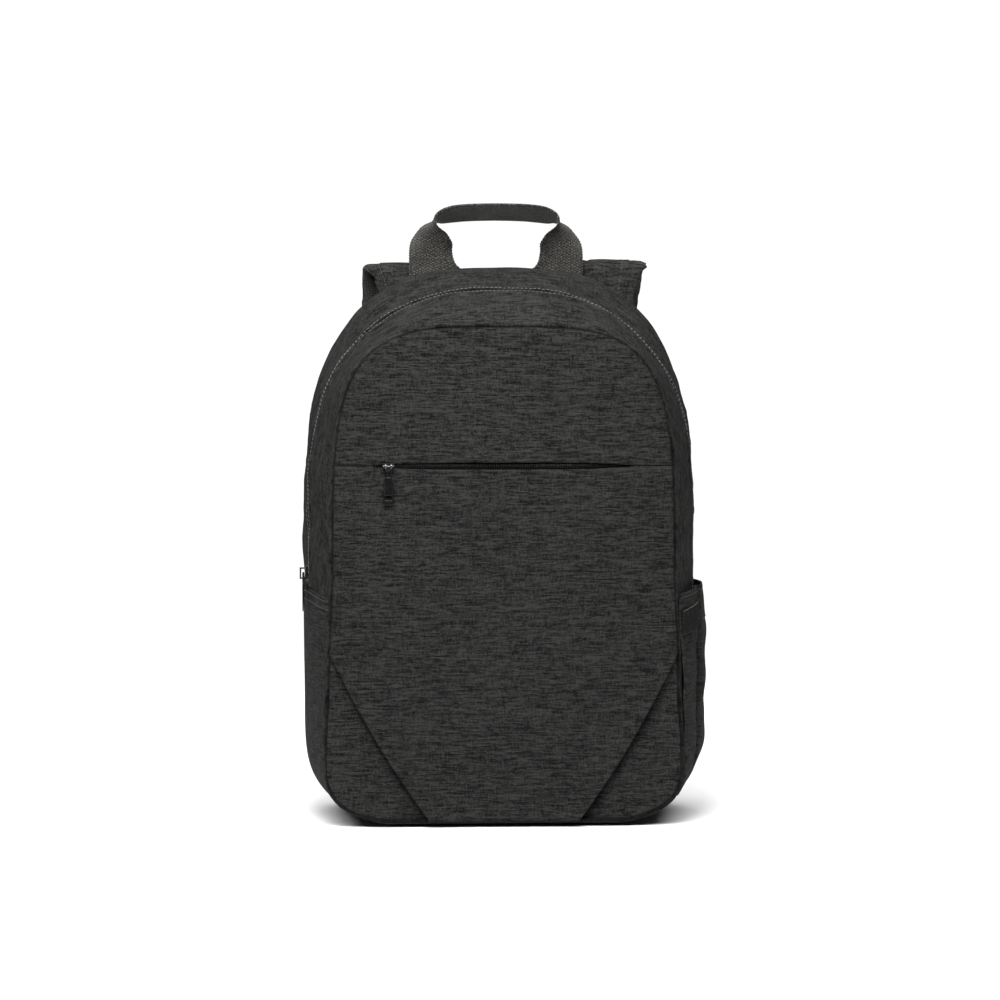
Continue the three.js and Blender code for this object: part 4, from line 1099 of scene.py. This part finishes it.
def pocket_stand(folds, bulge, top, depth, height):
    """Stand-off of a pocket's inner face from the bag."""
    rise = np.clip((height - POCKET_BASE) / (top - POCKET_BASE), 0, 1)
    across = read_table(folds, depth)[:, 1].reshape(depth.shape)
    up = read_table(POCKET_RISES, rise)[:, 1].reshape(rise.shape)
    return POCKET_SEAT + bulge * across * up


def pocket_grid(folds, front, rear, bulge, side, shape, pressed=0.0):
    """Grid of a side pocket's outer face, from its front seam to the rear and from its base to its mouth."""
    share = spaced(0.12, 1.2 * MM)
    depth = mix(POCKET_FRONT, POCKET_REAR, share)[:, None]
    rise = spaced(0.155, 1.6 * MM)[None, :]
    depth, rise = np.broadcast_arrays(depth, rise)
    top = pocket_top(front, rear, depth)
    height = mix(POCKET_BASE, top, rise)
    stand = pocket_stand(folds, bulge, top, depth, height) + POCKET_WALL
    stand = stand + shape(depth, height, top) - pressed
    face = side_points(side, depth, height, stand)
    return face, depth, height, top


def left_pocket(finish, thread):
    def shape(depth, height, top):
        down = top - height
        return (hump(down, 2 * MM, 5 * MM) * 0.35 * MM + 0.35 * MM * smooth(12 * MM, 10 * MM, down)
                - 0.3 * MM * hump(down, 10.5 * MM, 2.5 * MM))
    grid = pocket_grid(LEFT_FOLDS, 172 * MM, 177 * MM, 0.8 * MM, -1, shape, 1.7 * MM)
    finish_pocket("side_pocket_left", grid, -1, finish, thread)


def right_pocket(finish, thread):
    def shape(depth, height, top):
        down = top - height
        out = 0.4 * MM * smooth(29 * MM, 27 * MM, down) - 0.4 * MM * hump(down, 28 * MM, 3 * MM)
        out += hump(down, 1.8 * MM, 5 * MM) * 0.3 * MM
        fold = hump(depth, PLEAT_PLACE, 0.05) * smooth(26 * MM, 60 * MM, height)
        out -= fold * 2.2 * MM * smooth(0, 30 * MM, down)
        spot = np.stack((depth * 0.12, 0 * depth, height), -1)
        out += ripples(71, 34 * MM, spot) * 0.5 * MM * smooth(POCKET_BASE, POCKET_BASE + 30 * MM, height)
        return out
    grid = pocket_grid(RIGHT_FOLDS, *RIGHT_POCKET_TOP, RIGHT_POCKET_BULGE, 1, shape)
    finish_pocket("side_pocket_right", grid, 1, finish, thread)


def finish_pocket(node, grid, side, finish, thread):
    """Pocket's cloth with painted shade in its pleat, and the two rows of stitches under its mouth."""
    face, depth, height, top = grid
    normal = grid_normals(face, MIDDLE)
    from_base = height - POCKET_BASE
    from_top = top - height
    ends = np.minimum(POCKET_FRONT - depth, depth - POCKET_REAR) * 0.125
    rim = np.minimum(np.minimum(from_base, from_top), ends)
    spread = along_lengths(face[:, face.shape[1] // 2])
    uv = paired(spread[:, None], face[..., 2])
    crease = 0 * depth
    if side > 0:
        # Painted shade in the right pocket's deep pleat
        pleat_shade = smooth(24 * MM, 30 * MM, from_top) * smooth(50 * MM, 95 * MM, height)
        crease = hump(depth, PLEAT_PLACE, 0.035) * pleat_shade
    piece = cloth_piece(node + "_cloth", face, normal, POCKET_WALL, rim, uv, finish, False, crease)
    place(piece, slot="shell_fabric", instead_of=[node])
    rows = []
    for drop in ((3 * MM, 10 * MM) if side < 0 else (4 * MM, 26 * MM)):
        column = np.argmin(np.abs(from_top[len(face) // 2] - drop))
        rows.append((face[4:-4, column], normal[4:-4, column]))
    stitches(node + "_stitches", rows, (3.2, 2.4, 0.55, 0.05), thread)


def bellow_webbing(finish, thread):
    """Ribbed strip across the front bellow of the right pocket."""
    share = spaced(0.033, 0.7 * MM)
    depth = mix(POCKET_FRONT, STRIP_REAR, share)[:, None]
    rise = spaced(0.019, 0.16 * MM, 0.12 * MM)[None, :]
    depth, rise = np.broadcast_arrays(depth, rise)
    top = STRIP_TOP - 4.9 * MM * (depth - STRIP_BEND) / 0.195
    top = np.where(depth < STRIP_BEND, STRIP_TOP + (STRIP_BEND - depth) * 14 * MM, top)
    height = top - STRIP_HEIGHT * (1 - rise)
    pocket = pocket_top(*RIGHT_POCKET_TOP, depth)
    stand = pocket_stand(RIGHT_FOLDS, RIGHT_POCKET_BULGE, pocket, np.maximum(depth, 0.745), height)
    stand = stand + POCKET_WALL + 1.7 * MM
    stand = stand - 3.2 * MM * smooth(0.745, STRIP_REAR, depth)
    ribs = 0.26 * MM * np.sin((height - top) * 2 * math.pi / STRIP_RIB)
    ribs = ribs * smooth(0, 1 * MM, rise * STRIP_HEIGHT)
    ribs = np.where(top - height < 1.7 * MM, 0.15 * MM, ribs)
    face = side_points(1, depth, height, stand + ribs)
    normal = grid_normals(face, MIDDLE)
    ends = np.minimum(share, 1 - share)[:, None] * STRIP_RUN
    rim = np.minimum(np.minimum(rise, 1 - rise) * STRIP_HEIGHT, ends)
    uv = paired(share[:, None] * STRIP_RUN, height)
    piece = cloth_piece("pocket_webbing_ribbed", face, normal, 1.1 * MM, rim, uv, finish)
    place(piece, slot="webbing", instead_of=["pocket_webbing_right"])
    column = np.argmin(np.abs(rise[0] - 0.955))
    rows = [(face[4:-14, column], normal[4:-14, column])]
    stitches("pocket_webbing_stitches", rows, (2.2, 1.7, 0.45, 0.1), thread, "webbing")


# Zips

def zip_line(off):
    """Line of the main zip over the top, off from the bag's skin, with its outward directions."""
    columns = np.arange(AROUND)
    depth = np.full(AROUND, ZIP_SHARE)
    points = bag_points(depth, columns)
    beside = bag_points(depth + 0.01, columns)
    down = np.roll(points, -1, 0) - np.roll(points, 1, 0)
    normal = unit(np.cross(down, beside - points))
    if ((points - MIDDLE) * normal).sum() < 0:
        normal = -normal
    keep = points[:, 2] >= ZIP_END_HEIGHT
    return points[keep] + normal[keep] * off, normal[keep]


def main_zip(tape, coil):
    line, out = zip_line(-CLOTH_WALL - CLEARANCE)
    along = directions(line)
    sideways = np.cross(along, out)
    shares = np.concatenate((spaced(TAPE_HALF, 1.5 * MM), 1 + spaced(TAPE_HALF, 1.5 * MM)[1:])) - 1
    face = line[:, None] + sideways[:, None] * (shares * TAPE_HALF)[None, :, None]
    normal = np.broadcast_to(out[:, None], face.shape)
    length = along_lengths(line)
    ends = np.minimum(length, length[-1] - length)[:, None]
    rim = np.minimum((1 - np.abs(shares)) * TAPE_HALF, ends)
    uv = paired(length[:, None], shares[None, :] * TAPE_HALF)
    piece = cloth_piece("main_zip_tape_woven", face, normal, 1.1 * MM, rim, uv, tape)
    place(piece, slot="zip_tape", instead_of=["main_zip_tape"])
    teeth("main_zip_coil", zip_line(-1.9 * MM), (1.5, 4.4, 0.85), coil)


def front_zip(tape, coil):
    x = np.linspace(-SLIT_HALF - 4 * MM, SLIT_HALF + 4 * MM, 160)
    z = SLIT_HEIGHT + np.linspace(-10, 10, 13) * MM
    grid_x, grid_z = np.meshgrid(x, z, indexing="ij")
    y = front_y(grid_x, grid_z) + CLOTH_WALL + CLEARANCE * 2 + 1.5 * MM
    face = np.stack((grid_x, y, grid_z), -1)
    normal = np.broadcast_to(np.array((0.0, -1.0, 0.0)), face.shape)
    rim = np.minimum(10 * MM - np.abs(grid_z - SLIT_HEIGHT), SLIT_HALF + 4 * MM - np.abs(grid_x))
    uv = np.stack((grid_x, grid_z), -1)
    piece = cloth_piece("front_zip_tape_woven", face, normal, 1 * MM, np.maximum(rim, 0), uv, tape)
    place(piece, slot="zip_tape", instead_of=["front_zip_tape"])
    x = np.linspace(-SLIT_HALF, SLIT_HALF, 200)
    z = np.full_like(x, SLIT_HEIGHT)
    line = np.stack((x, front_y(x, z) + CLOTH_WALL + CLEARANCE + 1.45 * MM, z), -1)
    out = np.broadcast_to(np.array((0.0, -1.0, 0.0)), line.shape)
    teeth("front_zip_coil", (line, out), (1.3, 3.8, 0.7), coil)


def solid_copy(node, name, change):
    """Object with a solid's welded mesh, changed before it is made."""
    work = bmesh.new()
    work.from_mesh(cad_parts[node].data)
    bmesh.ops.remove_doubles(work, verts=work.verts, dist=1e-6)
    change(work)
    mesh = bpy.data.meshes.new(name)
    work.to_mesh(mesh)
    work.free()
    return new_object(name, mesh)


def softened(node, name, width, material, angle=40):
    """Copy of a solid with its flat faces merged and its edges rounded."""
    def merge(work):
        bmesh.ops.dissolve_limit(work, angle_limit=math.radians(1), verts=work.verts, edges=work.edges)
    piece = solid_copy(node, name, merge)
    bevel = piece.modifiers.new("edges", "BEVEL")
    bevel.width = width
    bevel.segments = 3
    bevel.limit_method = "ANGLE"
    bevel.angle_limit = math.radians(angle)
    apply_modifiers(piece)
    piece.data.materials.clear()
    piece.data.materials.append(material)
    shade_smooth(piece.data)
    piece.data.set_sharp_from_angle(angle=math.radians(angle))
    return piece


def apply_modifiers(piece):
    made = evaluated_mesh(piece)
    piece.modifiers.clear()
    old = piece.data
    piece.data = made
    bpy.data.meshes.remove(old)


def zip_metal(material):
    for node, body, width in ZIP_METAL:
        piece = softened(node, node + "_enamelled", width, material)
        place(piece, body, "zip_metal", [node])


# Handle

def handle_rows():
    """Middle line, width direction and outward direction of the carry handle's webbing."""
    keys = np.linspace(0, 20, HANDLE_STEPS)
    values = read_table(HANDLE_ROWS, 10 - np.abs(keys - 10))
    side = np.where(keys <= 10, -1.0, 1.0)
    x = side * HANDLE_HALF_SPAN * values[:, 1]
    z = BODY_HEIGHT + HANDLE_RISE * values[:, 2]
    line = np.stack((x, np.full_like(x, HANDLE_Y), z), -1)
    lengths = np.linspace(0, 1, HANDLE_STEPS)
    line = resample(line, lengths)
    drawn = along_lengths(np.stack((x, 0 * x, z), -1))
    turn = np.interp(lengths, drawn / drawn[-1], np.radians(values[:, 3]))
    along = directions(line)
    inward = np.stack((along[:, 2], 0 * turn, -along[:, 0]), -1)
    towards = np.array((0.0, -1.0, 0.0))
    across = inward * np.cos(turn)[:, None] + towards * np.sin(turn)[:, None]
    out = unit(np.cross(along, across))
    return line, across, out, along_lengths(line)


def basket_relief(lay, length):
    """Height of the basket weave, from 0 to 1, at places across and along the webbing."""
    shift = np.pi * np.floor(lay / HANDLE_YARN + 0.5)
    rows = np.sin(length * 2 * math.pi / HANDLE_YARN + shift)
    cells = np.abs(np.sin(lay * math.pi / HANDLE_YARN + math.pi / 2))
    return (0.5 + 0.5 * rows) * (0.35 + 0.65 * cells)


def handle_spread(lay, inner, above, length, left):
    """Places across the webbing, with ragged edges, flared feet and a slack inner edge."""
    ragged = 1 + 0.016 * np.sin(length * 2 * math.pi / HANDLE_YARN)
    flare = np.where(left, 7.5, 6.5) * MM * np.exp(-np.maximum(above, 0) / (4.2 * MM))
    slack = hump(above, 20 * MM, 16 * MM) * np.sin(above / (2.6 * MM)) * 0.7 * MM
    return lay * ragged[:, None] + inner ** 2 * flare + inner ** 3 * slack


def handle_cup(u, inner, above, facing):
    """How far the webbing stands off its middle line, as it cups and curls at its feet."""
    cup = (u ** 2)[None, :] * 1.1 * MM * np.sin(np.linspace(0, math.pi, len(above)))[:, None]
    curl = inner ** 4 * np.exp(-((above - 3 * MM) / (7 * MM)) ** 2) * 3.2 * MM
    return cup - curl * facing


def closed_strip(outer, inner):
    """Values of a strip's outer and inner side, run round it once."""
    return np.concatenate((outer, inner[:, ::-1], outer[:, :1]), axis=1)


def handle(finish):
    """Twisted webbing with a coarse basket weave in its mesh."""
    line, across, out, length = handle_rows()
    u = np.linspace(-1, 1, 57)
    lay = u[None, :] * HANDLE_WEBBING / 2
    relief = basket_relief(lay, length[:, None])
    edge = smooth(1.0, 0.93, np.abs(u))[None, :]
    above = (line[:, 2] - BODY_HEIGHT)[:, None]
    inner = np.clip(u, 0, 1)[None, :]
    spread = handle_spread(lay, inner, above, length, line[:, :1] < 0)
    cup = handle_cup(u, inner, above, np.sign(out[:, 1:2]))
    half_thick = HANDLE_THICK / 2 * (0.35 + 0.65 * edge) + 0.5 * MM * (relief - 0.5) * edge
    middle = line[:, None] + across[:, None] * spread[..., None]
    sides = [middle + out[:, None] * (thick + cup)[..., None] for thick in (half_thick, -half_thick)]
    loop = closed_strip(*sides)
    faces = quads(*loop.shape[:2])
    points = loop.reshape(-1, 3)
    uv = paired(closed_strip(lay, lay), length[:, None]).reshape(-1, 2)
    piece = mesh_piece("handle_webbing", points, faces, finish, uv[faces])
    add_relief(piece, points, closed_strip(relief, relief).ravel())
    place(piece, slot="webbing", instead_of=["handle"])


def add_relief(piece, points, level):
    """Point attribute with the weave's height, matched to the mesh's points by place."""
    keys = {tuple(np.round(p, 6)): v for p, v in zip(points, level)}
    values = [keys.get(tuple(np.round(np.array(v.co), 6)), 0.5) for v in piece.data.vertices]
    attribute = piece.data.attributes.new("relief", "FLOAT", "POINT")
    attribute.data.foreach_set("value", np.array(values, np.float32))


# Padded pieces

def remeshed(node, name, voxel, shrink):
    """Even mesh of a solid, as the start of a padded form."""
    def draw_in(work):
        work.normal_update()
        for vert in work.verts:
            vert.co -= vert.normal * shrink
    piece = solid_copy(node, name, draw_in)
    remesh = piece.modifiers.new("even", "REMESH")
    remesh.mode = "VOXEL"
    remesh.voxel_size = voxel
    apply_modifiers(piece)
    return piece


def points_of(mesh):
    points = np.zeros(len(mesh.vertices) * 3, np.float32)
    mesh.vertices.foreach_get("co", points)
    return points.reshape(-1, 3).astype(float)


def set_points(mesh, points):
    mesh.vertices.foreach_set("co", points.astype(np.float32).ravel())
    mesh.update()


def blown_points(piece):
    """Points of a piece after a short cloth run with air pressure inside and no weight."""
    settings = piece.modifiers.new("air", "CLOTH").settings
    for key, value in AIR.items():
        setattr(settings, key, value)
    settings.effector_weights.gravity = 0
    scene = bpy.context.scene
    for number in range(1, AIR_FRAMES + 1):
        scene.frame_set(number)
    evaluated = piece.evaluated_get(bpy.context.evaluated_depsgraph_get())
    points = points_of(evaluated.to_mesh())
    evaluated.to_mesh_clear()
    piece.modifiers.clear()
    scene.frame_set(1)
    return points


def inflated(piece, cap, hold=None):
    """Blows a form up as cloth. No point moves further than cap, and hold gives a share of freedom."""
    start = points_of(piece.data)
    moved = blown_points(piece) - start
    far = np.linalg.norm(moved, axis=1, keepdims=True)
    moved *= np.minimum(1, cap / np.maximum(far, 1e-9))
    if hold is not None:
        moved *= hold(start)[:, None]
    set_points(piece.data, start + moved)
    finer = piece.modifiers.new("finer", "SUBSURF")
    finer.levels = 1
    finer.render_levels = 1
    apply_modifiers(piece)


def strap_line(side):
    """Middle line of a padded strap, its outward direction and its width."""
    keys = np.linspace(0, 13, 500)
    values = read_table(STRAP_ROWS, keys)
    shift_x, shift_z = STRAP_SHIFT[side]
    top = np.maximum(1 - keys / 8, 0)
    x = side * (values[:, 1] + shift_x * top) * BODY_WIDTH / 2
    y = STRAP_SEAT_Y + STRAP_BOW * values[:, 2]
    z = (values[:, 3] + shift_z * np.where(keys < 2, 0, top)) * BODY_HEIGHT
    line = np.stack((x, y, z), -1)
    along = directions(line)
    out = unit(np.stack((0 * x, -along[:, 2], along[:, 1]), -1))
    return line, out, values[:, 4] * STRAP_WIDTH, along_lengths(line)


def strap_places(points, side):
    """Each point's share across a strap, height over its middle, length along it and outward direction."""
    line, out, width, length = strap_line(side)
    way = directions(line)
    nearest = np.empty(len(points), int)
    for start in range(0, len(points), 3000):
        part = points[start:start + 3000]
        gap = ((part[:, None, 1:] - line[None, :, 1:]) ** 2).sum(-1)
        nearest[start:start + 3000] = gap.argmin(1)
    off = points - line[nearest]
    across = off[:, 0] / (width[nearest] / 2)
    over = (off * out[nearest]).sum(1)
    along = length[nearest] + (off[:, 1:] * way[nearest][:, 1:]).sum(1)
    return across, over, along, out[nearest]


def root_taper(along):
    """How far the outer edge of a strap's root is drawn in, as a share of its half width."""
    return 0.46 * smooth(44 * MM, 6 * MM, along)


def shoulder_strap(side, cloth, mesh_cloth, thread):
    """Padded strap: cloth outside, spacer mesh towards the wearer, both hems sewn flat."""
    name = "right" if side > 0 else "left"
    piece = remeshed(f"shoulder_strap_{name}", f"shoulder_strap_{name}_padded", 3.2 * MM, 0.5 * MM)
    inflated(piece, 2.5 * MM)
    points = points_of(piece.data)
    across, over, along, out = strap_places(points, side)
    widen = 0.99 / np.percentile(np.abs(across), 99) - 1
    points[:, 0] += across * widen * STRAP_WIDTH / 2
    points[:, 0] += side * STRAP_SPREAD[side] * smooth(0.35, 0.41, points[:, 2])
    across *= 1 + widen
    rim = np.abs(across)
    sewn = hump(rim, STRAP_HEM, 0.08) * 1.3 * MM + smooth(STRAP_HEM, STRAP_HEM + 0.06, rim) * 0.5 * MM
    points -= out * (np.sign(over) * np.minimum(sewn, np.abs(over) * 0.6))[:, None]
    wrinkle = ripples(81 + side, 26 * MM, points) * 0.25 * MM
    points += out * (wrinkle * np.sign(over) * smooth(0.8, 0.6, rim))[:, None]
    outer_side = np.maximum(across * side, 0)
    points[:, 0] -= side * outer_side * root_taper(along) * STRAP_WIDTH / 2
    set_points(piece.data, points)
    weave_by_point(piece, np.stack((across * STRAP_WIDTH / 2, along), -1))
    face_over = np.array([over[list(p.vertices)].mean() for p in piece.data.polygons])
    two_cloths(piece, cloth, mesh_cloth, face_over < -0.8 * MM)
    place(piece, slot="padding_fabric", instead_of=[f"shoulder_strap_{name}"])
    strap_stitches(piece, side, name, thread)


def two_cloths(piece, cloth, mesh_cloth, meshed):
    """Cloth all over a piece, with mesh on the faces that are marked."""
    piece.data.materials.append(cloth)
    piece.data.materials.append(mesh_cloth)
    piece.data.polygons.foreach_set("material_index", meshed.astype(np.int32))


def weave_by_point(piece, places):
    """UV map in metres from one place for each point."""
    mesh = piece.data
    corners = np.zeros(len(mesh.loops), np.int32)
    mesh.loops.foreach_get("vertex_index", corners)
    layer = mesh.uv_layers.new(name="weave")
    layer.data.foreach_set("uv", places[corners].astype(np.float32).ravel())
    shade_smooth(mesh)


def strap_stitches(piece, side, name, thread):
    """Two rows of stitches laid on the outer face of a strap."""
    tree = BVHTree.FromObject(piece, bpy.context.evaluated_depsgraph_get())
    line, out, width, length = strap_line(side)
    drawn = 1 - root_taper(length)
    rows = []
    for edge in (-STRAP_HEM, STRAP_HEM):
        share = edge * (drawn if edge * side > 0 else 1 + 0 * drawn)
        found, ways = [], []
        for centre, way, wide in zip(line[::3], out[::3], (width * share)[::3]):
            start = Vector(centre + way * 14 * MM) + Vector((wide / 2, 0, 0))
            hit, normal, _, _ = tree.ray_cast(start, Vector(-way), 20 * MM)
            if hit:
                found.append(hit)
                ways.append(normal)
        rows.append((np.array(found), np.array(ways)))
    stitches(f"shoulder_strap_{name}_stitches", rows, (3.4, 2.5, 0.6, 0.1), thread, "padding_fabric")


def back_grooves(x, edge):
    """Depth of the sewn rim and of the two upright channels."""
    groove = hump(edge, 13 * MM, 7 * MM) * 2.2 * MM
    inside = smooth(24 * MM, 40 * MM, edge)
    for channel in (-44 * MM, 44 * MM):
        groove = np.maximum(groove, hump(x, channel, 12 * MM) * 3.2 * MM * inside)
    return groove


def back_panel(cloth, mesh_cloth):
    """Padded back with a sewn rim and two upright channels."""
    piece = remeshed("back_panel", "back_panel_padded", 4.6 * MM, 0.4 * MM)
    low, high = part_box("back_panel")

    def freedom(points):
        return smooth(low[1] + 1 * MM, high[1], points[:, 1])

    inflated(piece, 5 * MM, freedom)
    points = points_of(piece.data)
    half = half_outline(0.0)
    rim = resample(np.concatenate((half, half[-2::-1] * (-1, 1))), np.linspace(0, 1, 900))
    edge = distance_to(rim, points[:, [0, 2]])
    outward = smooth(low[1] + 3 * MM, high[1], points[:, 1])
    groove = back_grooves(points[:, 0], edge)
    wave = ripples(91, 60 * MM, points) * 0.35 * MM
    points[:, 1] += (wave - groove) * outward
    set_points(piece.data, points)
    weave_by_point(piece, points[:, [0, 2]])
    centre = np.array([np.mean([points[v] for v in p.vertices], axis=0) for p in piece.data.polygons])
    inner = distance_to(rim, centre[:, [0, 2]]) > 13 * MM
    two_cloths(piece, cloth, mesh_cloth, inner & (centre[:, 1] > low[1] + 3 * MM))
    place(piece, slot="padding_fabric", instead_of=["back_panel"])


# Webbings and buckles

def lower_webbings(finish):
    for node in ("strap_webbing_left", "strap_webbing_right", "strap_tab_left", "strap_tab_right"):
        piece = softened(node, node + "_woven", 0.35 * MM, finish, 50)
        points = points_of(piece.data)
        weave_by_point(piece, points[:, [0, 2]])
        place(piece, slot="webbing", instead_of=[node])


def buckles(finish):
    for node in ("strap_buckle_left", "strap_buckle_right"):
        place(softened(node, node + "_moulded", 0.6 * MM, finish), slot="buckle_plastic", instead_of=[node])


# Stage

def white_floor():
    """Disc that ends behind the bag, a little below it."""
    floor = bpy.data.meshes.new("floor")
    work = bmesh.new()
    bmesh.ops.create_circle(work, cap_ends=True, segments=96, radius=FLOOR_RADIUS)
    bmesh.ops.translate(work, verts=work.verts, vec=(0, 0.25, 0))
    work.to_mesh(floor)
    work.free()
    f = Finish("white_floor")
    mottle = f.noise(f.object_place(), 400, 1.0)
    colour = f.mixed(mottle, grey(0.86), grey(0.88))
    floor.materials.append(f.surface(colour, 0.6, Specular_IOR_Level=0.1))
    ground = new_object("floor", floor)
    ground.location.z = -0.3 * MM


def studio():
    """White room seen by the camera, a wide sun overhead and two lamps in front."""
    white_floor()
    world = bpy.data.worlds.new("studio")
    bpy.context.scene.world = world
    world.use_nodes = True
    graph = Graph(world.node_tree)
    seen = graph.node("ShaderNodeLightPath", out="Is Camera Ray")
    strength = seen * 1.02 + 0.04
    air = graph.node("ShaderNodeBackground", None, {"Color": (1, 1, 1, 1), "Strength": strength})
    graph.node("ShaderNodeOutputWorld", None, {"Surface": air})
    sun = bpy.data.lights.new("overhead", "SUN")
    sun.energy = 5.2
    sun.angle = math.radians(84)
    aimed("overhead", sun, (-0.1, -0.24, 1.0), (0, 0, 0))
    lamp("front_soft", (-0.5, -1.9, 1.5), (0, 0, 0.34), 0.9, 2)
    lamp("over_front", (-0.08, -0.52, 0.72), (0, 0, 0.37), 0.4, 7)
    bpy.context.scene.view_settings.view_transform = "Standard"


def lamp(name, spot, aim, size, power):
    light = bpy.data.lights.new(name, "AREA")
    light.shape = "SQUARE"
    light.size = size
    light.energy = power
    aimed(name, light, spot, aim)


def aimed(name, data, spot, aim):
    """Object at a spot that looks at its aim."""
    made = bpy.data.objects.new(name, data)
    made.location = spot
    made.rotation_euler = (Vector(aim) - Vector(spot)).to_track_quat("-Z", "Y").to_euler()
    bpy.context.scene.collection.objects.link(made)
    return made


def camera():
    data = bpy.data.cameras.new("camera")
    data.lens = CAMERA_LENS
    data.sensor_width = 36
    spot = (-CAMERA_AWAY * math.sin(CAMERA_YAW), -CAMERA_AWAY * math.cos(CAMERA_YAW), CAMERA_HEIGHT)
    bpy.context.scene.camera = aimed("camera", data, spot, (0, 0, CAMERA_AIM_HEIGHT))


def build():
    shell = melange("shell_melange")
    # The shell's melange painted a little lighter for the straps and back, to offset the shade they sit in
    padding = melange("strap_melange", 0.0155)
    lining = spacer_mesh("padding_mesh")
    thread = thread_finish("sewing_thread")
    dark_thread = thread_finish("dark_sewing_thread", 0.028)
    tape = tape_finish("zip_tape_twill")
    coil = coil_finish("zip_coil_nylon")
    lines = gussets(shell)
    stitches("zip_lip_stitches", lines, (3.3, 2.5, 0.5, 0.05), thread)
    upper_panel(shell)
    lower_panel(shell)
    for side in (-1, 1):
        corner_panel(side, shell)
        shoulder_strap(side, padding, lining, dark_thread)
    left_pocket(shell, dark_thread)
    right_pocket(shell, dark_thread)
    bellow_webbing(flat_webbing("elastic_ribs", 0.004), thread)
    main_zip(tape, coil)
    front_zip(tape, coil)
    zip_metal(enamel("zip_enamel"))
    handle(basket_webbing("handle_basket"))
    back_panel(padding, lining)
    lower_webbings(flat_webbing("strap_webbing"))
    buckles(buckle_finish("buckle_acetal"))


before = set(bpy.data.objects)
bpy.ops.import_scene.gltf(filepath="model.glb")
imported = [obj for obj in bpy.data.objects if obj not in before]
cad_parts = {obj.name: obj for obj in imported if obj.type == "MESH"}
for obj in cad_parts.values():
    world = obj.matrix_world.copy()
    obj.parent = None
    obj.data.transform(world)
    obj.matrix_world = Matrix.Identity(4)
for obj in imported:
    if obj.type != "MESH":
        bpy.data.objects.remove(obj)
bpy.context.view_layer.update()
STITCHES = row_tree("stitches", ("Pitch", "Length", "Gauge", "Lift"), stitch)
COIL = row_tree("coil", ("Pitch", "Width", "Gauge", "Lift"), coil_loop)
build()
studio()
camera()
